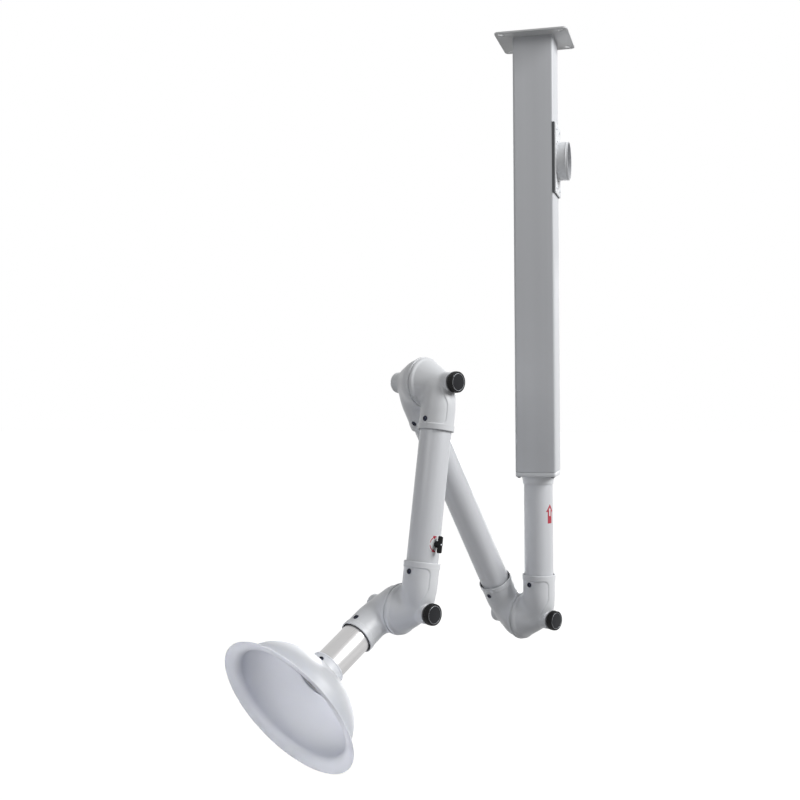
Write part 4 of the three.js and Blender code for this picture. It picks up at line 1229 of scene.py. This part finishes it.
class FUME_ARM_OT_knobs(BuildOperator, bpy.types.Operator):
    """Three clamping knobs with grip ribs, a dark face and a raised bright ring, whose brightness is a painted
    highlight along the face's edge
    """

    bl_idname = "fume_arm.knobs"
    bl_label = "Knobs"

    def build(self, arm):
        size = arm.knob
        for stem, body, seam in KNOBS:
            node = f"{stem}_joint_knob"
            back, front = along(node, seam, TO_KNOBS)
            place = placed(seam, TO_KNOBS, -UP)
            radius = size.radius - size.rib_radius * 0.6
            sunk = front - size.recess
            profile = rounded([
                (0, back, 0), (radius - 4 * MM, back, 1 * MM), (radius, back + 3 * MM, 2 * MM),
                (radius, front, 2.4 * MM), (size.recess_radius, front, 0.5 * MM), (size.recess_radius, sunk, 0.3 * MM),
                (0, sunk, 0),
            ])
            grip = turned(f"{stem}_knob_body", profile, place)
            grip_ribs = ribs(
                f"{stem}_knob_ribs", place @ Matrix.Translation((0, 0, (back + front) / 2)),
                size.radius - size.rib_radius, size.rib_radius, (front - back) * 0.86, size.rib_count, black_plastic(),
            )
            knob = merged(f"{stem}_knob_grip", [grip, grip_ribs])
            add_piece(f"{stem}_knob_grip", knob, black_plastic(), body, "black_plastic", [node])
            disc_radius = size.recess_radius - size.ring_width
            disc = turned(
                f"{stem}_knob_disc",
                rounded([(0, sunk, 0), (disc_radius, sunk, 0), (disc_radius, sunk + 0.7 * MM, 0.3 * MM),
                         (0, sunk + 0.7 * MM, 0)]),
                place,
            )
            add_piece(f"{stem}_knob_disc", disc, knob_face(), body, "black_plastic")
            # The raised ring's bright steel is a painted highlight: it stands in for the light caught along the edge
            # of the face.
            ring = pipe(
                f"{stem}_knob_ring", disc_radius, size.recess_radius, sunk, sunk + 1.1 * MM, 0.4 * MM, place
            )
            add_piece(f"{stem}_knob_ring", ring, bright_steel(), body, "bright_steel")


class FUME_ARM_OT_damper(BuildOperator, bpy.types.Operator):
    """Damper handle with its screw, and the label with two turning arrows under it"""

    bl_idname = "fume_arm.damper"
    bl_label = "Damper"

    def build(self, arm):
        size = arm.damper
        tube_radius = arm.tube.radius
        hub = MIDDLE_SEAM + SEAM_OFFSET * TO_KNOBS + FRONT_WAY * size.drop
        place = placed(hub, TO_KNOBS, FRONT_WAY)
        top = tube_radius + size.top
        seat = tube_radius + 0.3 * MM

        def rule(points):
            x, y, z = points.T
            reach = size.bar_length / 2 - size.bar_width / 2
            off_bar = np.hypot(np.maximum(np.abs(x) - reach, 0), y)
            taper = size.bar_width / 2 - 0.05 * (z - top + size.bar_height)
            bar = drum(off_bar, z, taper, top - size.bar_height, top, 1.6 * MM)
            boss = drum(np.hypot(x, y), z, size.hub_radius, seat, top - 3.5 * MM, 1 * MM)
            body = soft_union(bar, boss, 2 * MM)
            recess = drum(np.hypot(x, y), z, 2.7 * MM, top - 2 * MM, top + 9 * MM, 0.2 * MM)
            return soft_cut(body, recess, 0.6 * MM)

        reach = size.bar_length / 2 + 2 * MM
        wide = size.hub_radius + 2 * MM
        handle = moulded(
            "damper_lever", rule, (-reach, -wide, seat - 2 * MM), (reach, wide, top + 2 * MM), 0.6 * MM
        )
        handle.transform(place)
        add_piece("damper_lever", handle, black_plastic(), "damper", "black_plastic", ["damper_handle"])
        values = {
            "Head radius": 2.5 * MM, "Head height": 1.4 * MM, "Socket radius": 1.1 * MM, "Socket depth": 0.8 * MM,
            "Material": bright_steel(),
        }
        point = place @ Vector((0, 0, top - 2 * MM))
        screw = run_tree("damper_lever_screw", screw_tree(), values, [point], [TO_KNOBS])
        add_piece("damper_lever_screw", screw, bright_steel(), "damper", "bright_steel")
        wrap = on_tube(placed(hub, FRONT_WAY, TO_KNOBS), tube_radius)
        ground = []
        for step in range(1, 40):
            x = -size.label_radius * math.cos(math.pi * step / 40)
            half = math.sqrt(size.label_radius ** 2 - x * x)
            ground.append(((x, -half), (x, half)))
        label = film("damper_label", ground, wrap, 0.1 * MM, 10)
        add_piece("damper_label", label, label_and_glint_film(), "front_arm", "white_plastic")
        above = on_tube(placed(hub, FRONT_WAY, TO_KNOBS), tube_radius + 0.12 * MM)
        for number, (start, sweep) in enumerate(((98, 84), (82, -84))):
            name = f"damper_arrow_{number + 1}"
            arrow = film(name, turning_arrow(size, start, sweep), above, arm.mark.film, 6)
            add_piece(name, arrow, red_ink(), "front_arm", "black_plastic")
        frame["nodes"]["damper_blade"].material_slots[0].material = bare_aluminium()
        frame["nodes"]["damper_clip"].material_slots[0].material = dark_steel()


def turning_arrow(size, start, sweep):
    """Ladder of a bent arrow from a start over a sweep in degrees."""
    ladder = []
    band = size.arrow_width / 2
    head_at = 0.6
    for step in range(25):
        share = step / 24
        if share <= head_at:
            half = band * (0.45 + 0.9 * share)
        else:
            half = band * 2.9 * (1 - share) / (1 - head_at)
        angle = math.radians(start + sweep * share)
        ladder.append(ring_pair(size.arrow_radius, half, angle))
        if share <= head_at < (step + 1) / 24:
            ladder.append(ring_pair(size.arrow_radius, band * 2.9, angle + math.copysign(0.002, sweep)))
    return ladder


def ring_pair(radius, half, angle):
    """Two points on a spoke, half a width inside and outside a radius."""
    way = (math.cos(angle), math.sin(angle))
    inside = radius - half
    outside = radius + half
    return (way[0] * inside, way[1] * inside), (way[0] * outside, way[1] * outside)


class FUME_ARM_OT_arrow(BuildOperator, bpy.types.Operator):
    """Red arrow printed on the drop tube, with a pale film inside it as a painted highlight on the ink"""

    bl_idname = "fume_arm.arrow"
    bl_label = "Arrow on the drop tube"

    def build(self, arm):
        size = arm.mark
        facing = Matrix.Rotation(size.turn, 3, "Z") @ TO_KNOBS
        place = placed(Vector(), UP, facing)
        red = film("flow_arrow", straight_arrow(size, 0, 0), on_tube(place, arm.tube.radius), size.film, 8)
        add_piece("flow_arrow", red, red_ink(), "drop", "black_plastic")
        # The pale middle is a painted highlight: a white film standing in for the glint on the red ink.
        above = on_tube(place, arm.tube.radius + size.film)
        pale = film("flow_arrow_middle", straight_arrow(size, size.border, size.foot), above, size.film / 2, 8)
        add_piece("flow_arrow_middle", pale, label_and_glint_film(), "drop", "white_plastic")


def straight_arrow(size, inset, foot):
    """Ladder of the straight arrow, drawn in from its edge by an inset and from its tail by a foot."""
    slope = size.head / (size.head_width / 2)
    slant = inset * math.hypot(slope, 1)
    neck = -size.tip - size.head + inset
    head = size.head - inset - slant
    tail = -size.tail + foot
    shaft = size.shaft_width / 2 - inset
    ladder = []
    for step in range(6):
        x = tail + (neck - tail) * step / 5
        ladder.append(((x, -shaft), (x, shaft)))
    for step in range(8):
        share = step / 7
        x = neck + 0.01 * MM + head * share
        half = max(head * (1 - share) / slope, 0.05 * MM)
        ladder.append(((x, -half), (x, half)))
    return ladder


class FUME_ARM_OT_hood(BuildOperator, bpy.types.Operator):
    """Opal hood bowl with its collar and ring nut"""

    bl_idname = "fume_arm.hood"
    bl_label = "Hood"

    def build(self, arm):
        size = arm.hood
        rim = along("hood_bowl", HOOD_HUB, HOOD_WAY)[1]
        place = placed(HOOD_HUB + HOOD_WAY * rim, -HOOD_WAY, -TO_KNOBS)
        collar_radius = arm.tube.radius + 0.3 * MM + size.collar_wall
        neck = collar_radius + 0.3 * MM
        seat_radius = size.flange_radius + 1 * MM
        outer = bowl_side(size, 0, size.wall, neck, seat_radius)
        inner = bowl_side(size, size.wall, 0, neck, seat_radius)
        edge = size.rim_edge
        profile = rounded(
            [(r, z, 0) for r, z in inner[:-1]] + [(*inner[-1], edge), (*outer[-1], edge)]
            + [(r, z, 0) for r, z in reversed(outer[:-1])]
        )
        bowl = turned("bowl_shell", profile, place, 160)
        add_piece("bowl_shell", bowl, milky_plastic(), "hood_head", "milky_plastic", ["hood_bowl"])
        start = HOOD_HUB + HOOD_WAY * rim
        low, high = along("hood_collar", start, -HOOD_WAY)
        seat = outer[0][1] + 0.3 * MM
        bore = arm.tube.radius + 0.3 * MM
        profile = rounded([
            (bore, low, 0.4 * MM), (collar_radius, low, 0.4 * MM), (collar_radius, seat, 0),
            (size.flange_radius, seat, 0.6 * MM), (size.flange_radius, seat + size.flange, 1.2 * MM),
            (collar_radius, seat + size.flange, 2 * MM), (collar_radius, high - 4 * MM, 0.4 * MM),
            (collar_radius + 0.7 * MM, high - 3.6 * MM, 0.4 * MM), (collar_radius + 0.7 * MM, high, 0.8 * MM),
            (bore, high, 0.6 * MM),
        ])
        sleeve = turned("collar_sleeve", profile, place, 128)
        lug_place = place @ Matrix.Translation((0, 0, seat + size.flange + 2.5 * MM))
        lugs = ribs(
            "collar_lugs", lug_place, collar_radius, 2.6 * MM, 11 * MM, size.lug_count, white_plastic()
        )
        collar = merged("collar_moulding", [sleeve, lugs])
        add_piece("collar_moulding", collar, white_plastic(), "hood_head", "white_plastic", ["hood_collar"])
        nut_low, nut_high = along("hood_nut", start, -HOOD_WAY)
        ring = pipe("nut_ring", neck, size.nut_radius - 1 * MM, nut_low, nut_high, 1 * MM, place)
        grip = ribs(
            "nut_ribs", place @ Matrix.Translation((0, 0, (nut_low + nut_high) / 2)), size.nut_radius - 2.2 * MM,
            2.2 * MM, (nut_high - nut_low) * 0.9, size.lug_count * 2, milky_plastic(),
        )
        nut = merged("nut_moulding", [ring, grip])
        add_piece("nut_moulding", nut, milky_plastic(), "hood_head", "milky_plastic", ["hood_nut"])


def bowl_side(size, inset, rise, neck, seat_radius):
    """One side of the hood's wall from its neck to its rim, as (radius, height) points."""
    radius = size.bowl_radius - inset
    high = size.bowl_height - inset
    start = math.acos(seat_radius / radius)
    points = [(neck, size.lip_height + high * math.sin(start))]
    for step in range(29):
        angle = start * (1 - step / 28)
        points.append((radius * math.cos(angle), size.lip_height + high * math.sin(angle)))
    for step in range(1, 13):
        angle = math.pi / 2 * step / 12
        points.append((
            radius + (size.rim_radius - radius) * (1 - math.cos(angle)),
            rise + (size.lip_height - rise) * (1 - math.sin(angle)),
        ))
    return points


class FUME_ARM_OT_inner_parts(BuildOperator, bpy.types.Operator):
    """Finishes of the joint seals, studs, washers and the retaining ring, which keep their solids"""

    bl_idname = "fume_arm.inner_parts"
    bl_label = "Inner parts"

    def build(self, arm):
        for stem, _, _ in KNOBS:
            for part, material in (("seal", rubber), ("washer", rubber), ("stud", dark_steel)):
                frame["nodes"][f"{stem}_joint_{part}"].material_slots[0].material = material()
        frame["nodes"]["retaining_ring"].material_slots[0].material = white_plastic()


class FUME_ARM_OT_studio(BuildOperator, bpy.types.Operator):
    """Pale floor, soft lamps, white surroundings and the camera"""

    bl_idname = "fume_arm.studio"
    bl_label = "Studio"

    def build(self, arm):
        scene = bpy.context.scene
        scene.view_settings.view_transform = "Standard"
        studio_floor(arm.colours.floor)
        studio_world(scene)
        target = Vector((-0.12, -0.15, -0.95))
        add_lamp("key_lamp", Vector((5.5, -0.5, 2.5)), target, 3.4, 415)
        add_lamp("fill_lamp", Vector((-2.6, -4.4, 1.2)), target, 3.0, 50)
        add_lamp("hood_lamp", Vector((0.1, 2.4, -0.7)), HOOD_HUB + HOOD_WAY * 0.25, 0.7, 2.45, math.radians(24))
        add_camera(scene)


FLOOR_HEIGHT = -2.7
FLOOR_HALF = 40


def studio_floor(rgb):
    """Floor at a usual distance below the ceiling, wide enough to run out of sight."""
    mesh = bpy.data.meshes.new("studio_floor")
    corners = [(sx * FLOOR_HALF, sy * FLOOR_HALF, FLOOR_HEIGHT) for sx, sy in ((-1, -1), (1, -1), (1, 1), (-1, 1))]
    mesh.from_pydata(corners, [], [(0, 1, 2, 3)])
    material = bpy.data.materials.new("pale_studio_floor")
    material.use_nodes = True
    tree = material.node_tree
    tree.nodes.clear()
    place = add_node(tree, "ShaderNodeTexCoord")
    cloud = add_node(tree, "ShaderNodeTexNoise", {}, {"Vector": place.outputs["Object"], "Scale": per(900)})
    tint = add_node(
        tree, "ShaderNodeMix", {"data_type": "RGBA"}, {0: cloud.outputs["Fac"], 6: opaque(rgb, 0.98), 7: opaque(rgb)}
    )
    matt = add_node(tree, "ShaderNodeBsdfDiffuse", {}, {"Color": tint.outputs[2]})
    ray = add_node(tree, "ShaderNodeLightPath")
    seen = add_node(
        tree, "ShaderNodeMath", {"operation": "MAXIMUM"},
        {0: ray.outputs["Is Camera Ray"], 1: ray.outputs["Is Glossy Ray"]},
    )
    seen_all = add_node(
        tree, "ShaderNodeMath", {"operation": "MAXIMUM"}, {0: seen.outputs[0], 1: ray.outputs["Is Transmission Ray"]}
    )
    away = add_node(tree, "ShaderNodeVectorMath", {"operation": "LENGTH"}, {0: place.outputs["Object"]})
    fade = add_node(
        tree, "ShaderNodeMapRange", {},
        {"Value": away.outputs["Value"], "From Min": 2.4, "From Max": 4.5, "To Min": 0.78, "To Max": 1.0},
    )
    level = add_node(
        tree, "ShaderNodeMath", {"operation": "MULTIPLY"}, {0: seen_all.outputs[0], 1: fade.outputs["Result"]}
    )
    white = add_node(tree, "ShaderNodeEmission", {}, {"Strength": level.outputs[0]})
    both = add_node(tree, "ShaderNodeAddShader", {}, {0: matt.outputs["BSDF"], 1: white.outputs["Emission"]})
    add_node(tree, "ShaderNodeOutputMaterial", {}, {"Surface": both.outputs["Shader"]})
    mesh.materials.append(material)
    floor = bpy.data.objects.new("studio_floor", mesh)
    bpy.context.scene.collection.objects.link(floor)
    floor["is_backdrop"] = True


def studio_world(scene):
    """White surroundings where they are seen, and a soft grey light from them elsewhere."""
    world = bpy.data.worlds.new("white_studio")
    world.use_nodes = True
    tree = world.node_tree
    tree.nodes.clear()
    ray = add_node(tree, "ShaderNodeLightPath")
    seen = add_node(
        tree, "ShaderNodeMath", {"operation": "MAXIMUM"},
        {0: ray.outputs["Is Camera Ray"], 1: ray.outputs["Is Glossy Ray"]},
    )
    seen_all = add_node(
        tree, "ShaderNodeMath", {"operation": "MAXIMUM"}, {0: seen.outputs[0], 1: ray.outputs["Is Transmission Ray"]}
    )
    level = add_node(
        tree, "ShaderNodeMapRange", {}, {"Value": seen_all.outputs[0], "To Min": 0.14, "To Max": 1.0}
    )
    light = add_node(
        tree, "ShaderNodeBackground", {}, {"Color": (1, 1, 1, 1), "Strength": level.outputs["Result"]}
    )
    add_node(tree, "ShaderNodeOutputWorld", {}, {"Surface": light.outputs["Background"]})
    scene.world = world


def add_lamp(name, origin, target, size, power, spread=math.pi):
    """Square soft lamp aimed at a target."""
    lamp = bpy.data.lights.new(name, "AREA")
    lamp.shape = "SQUARE"
    lamp.size = size
    lamp.energy = power
    lamp.spread = spread
    holder = bpy.data.objects.new(name, lamp)
    holder.location = origin
    holder.rotation_euler = (target - origin).to_track_quat("-Z", "Y").to_euler()
    bpy.context.scene.collection.objects.link(holder)


CAMERA_AT = Vector((0.41797, -2.97536, -0.89789))
CAMERA_WAY = Vector((-0.25662, 0.96643, -0.01222))
CAMERA_RIGHT = Vector((0.9665, 0.25653, -0.0086))
CAMERA_LENS = 51.41
SENSOR = 36


def add_camera(scene):
    """Camera at the viewing angle of the picture, level with the arm's middle."""
    camera = bpy.data.cameras.new("picture_camera")
    camera.lens = CAMERA_LENS
    camera.sensor_width = SENSOR
    camera.clip_end = 200
    holder = bpy.data.objects.new("picture_camera", camera)
    holder.matrix_world = placed(CAMERA_AT, -CAMERA_WAY.normalized(), CAMERA_RIGHT.normalized())
    scene.collection.objects.link(holder)
    scene.camera = holder


OPERATORS = (
    FUME_ARM_OT_studio,
    FUME_ARM_OT_ceiling_plate,
    FUME_ARM_OT_column,
    FUME_ARM_OT_duct_adaptor,
    FUME_ARM_OT_end_cap,
    FUME_ARM_OT_tubes,
    FUME_ARM_OT_elbows,
    FUME_ARM_OT_knobs,
    FUME_ARM_OT_damper,
    FUME_ARM_OT_arrow,
    FUME_ARM_OT_hood,
    FUME_ARM_OT_inner_parts,
)


class VIEW3D_PT_fume_arm(bpy.types.Panel):
    """Lists the build steps of the fume extraction arm"""

    bl_label = "Fume extraction arm"
    bl_space_type = "VIEW_3D"
    bl_region_type = "UI"
    bl_category = "Fume arm"

    def draw(self, context):
        for operator in OPERATORS:
            self.layout.operator(operator.bl_idname)


CLASSES = (
    MountSizes, TubeSizes, ElbowSizes, KnobSizes, DamperSizes, MarkSizes, HoodSizes, Colours, FumeArmSettings,
    *OPERATORS, VIEW3D_PT_fume_arm,
)


def register():
    for made in CLASSES:
        bpy.utils.register_class(made)
    bpy.types.Scene.fume_arm = PointerProperty(type=FumeArmSettings)


def unregister():
    del bpy.types.Scene.fume_arm
    for made in reversed(CLASSES):
        bpy.utils.unregister_class(made)


def main():
    register()
    for operator in OPERATORS:
        group, name = operator.bl_idname.split(".")
        getattr(getattr(bpy.ops, group), name)()
    boxes = {"cad": CAD_BOX, "visual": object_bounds()}
    plain = {name: [list(corner) for corner in box] for name, box in boxes.items()}


if __name__ == "__main__":
    main()
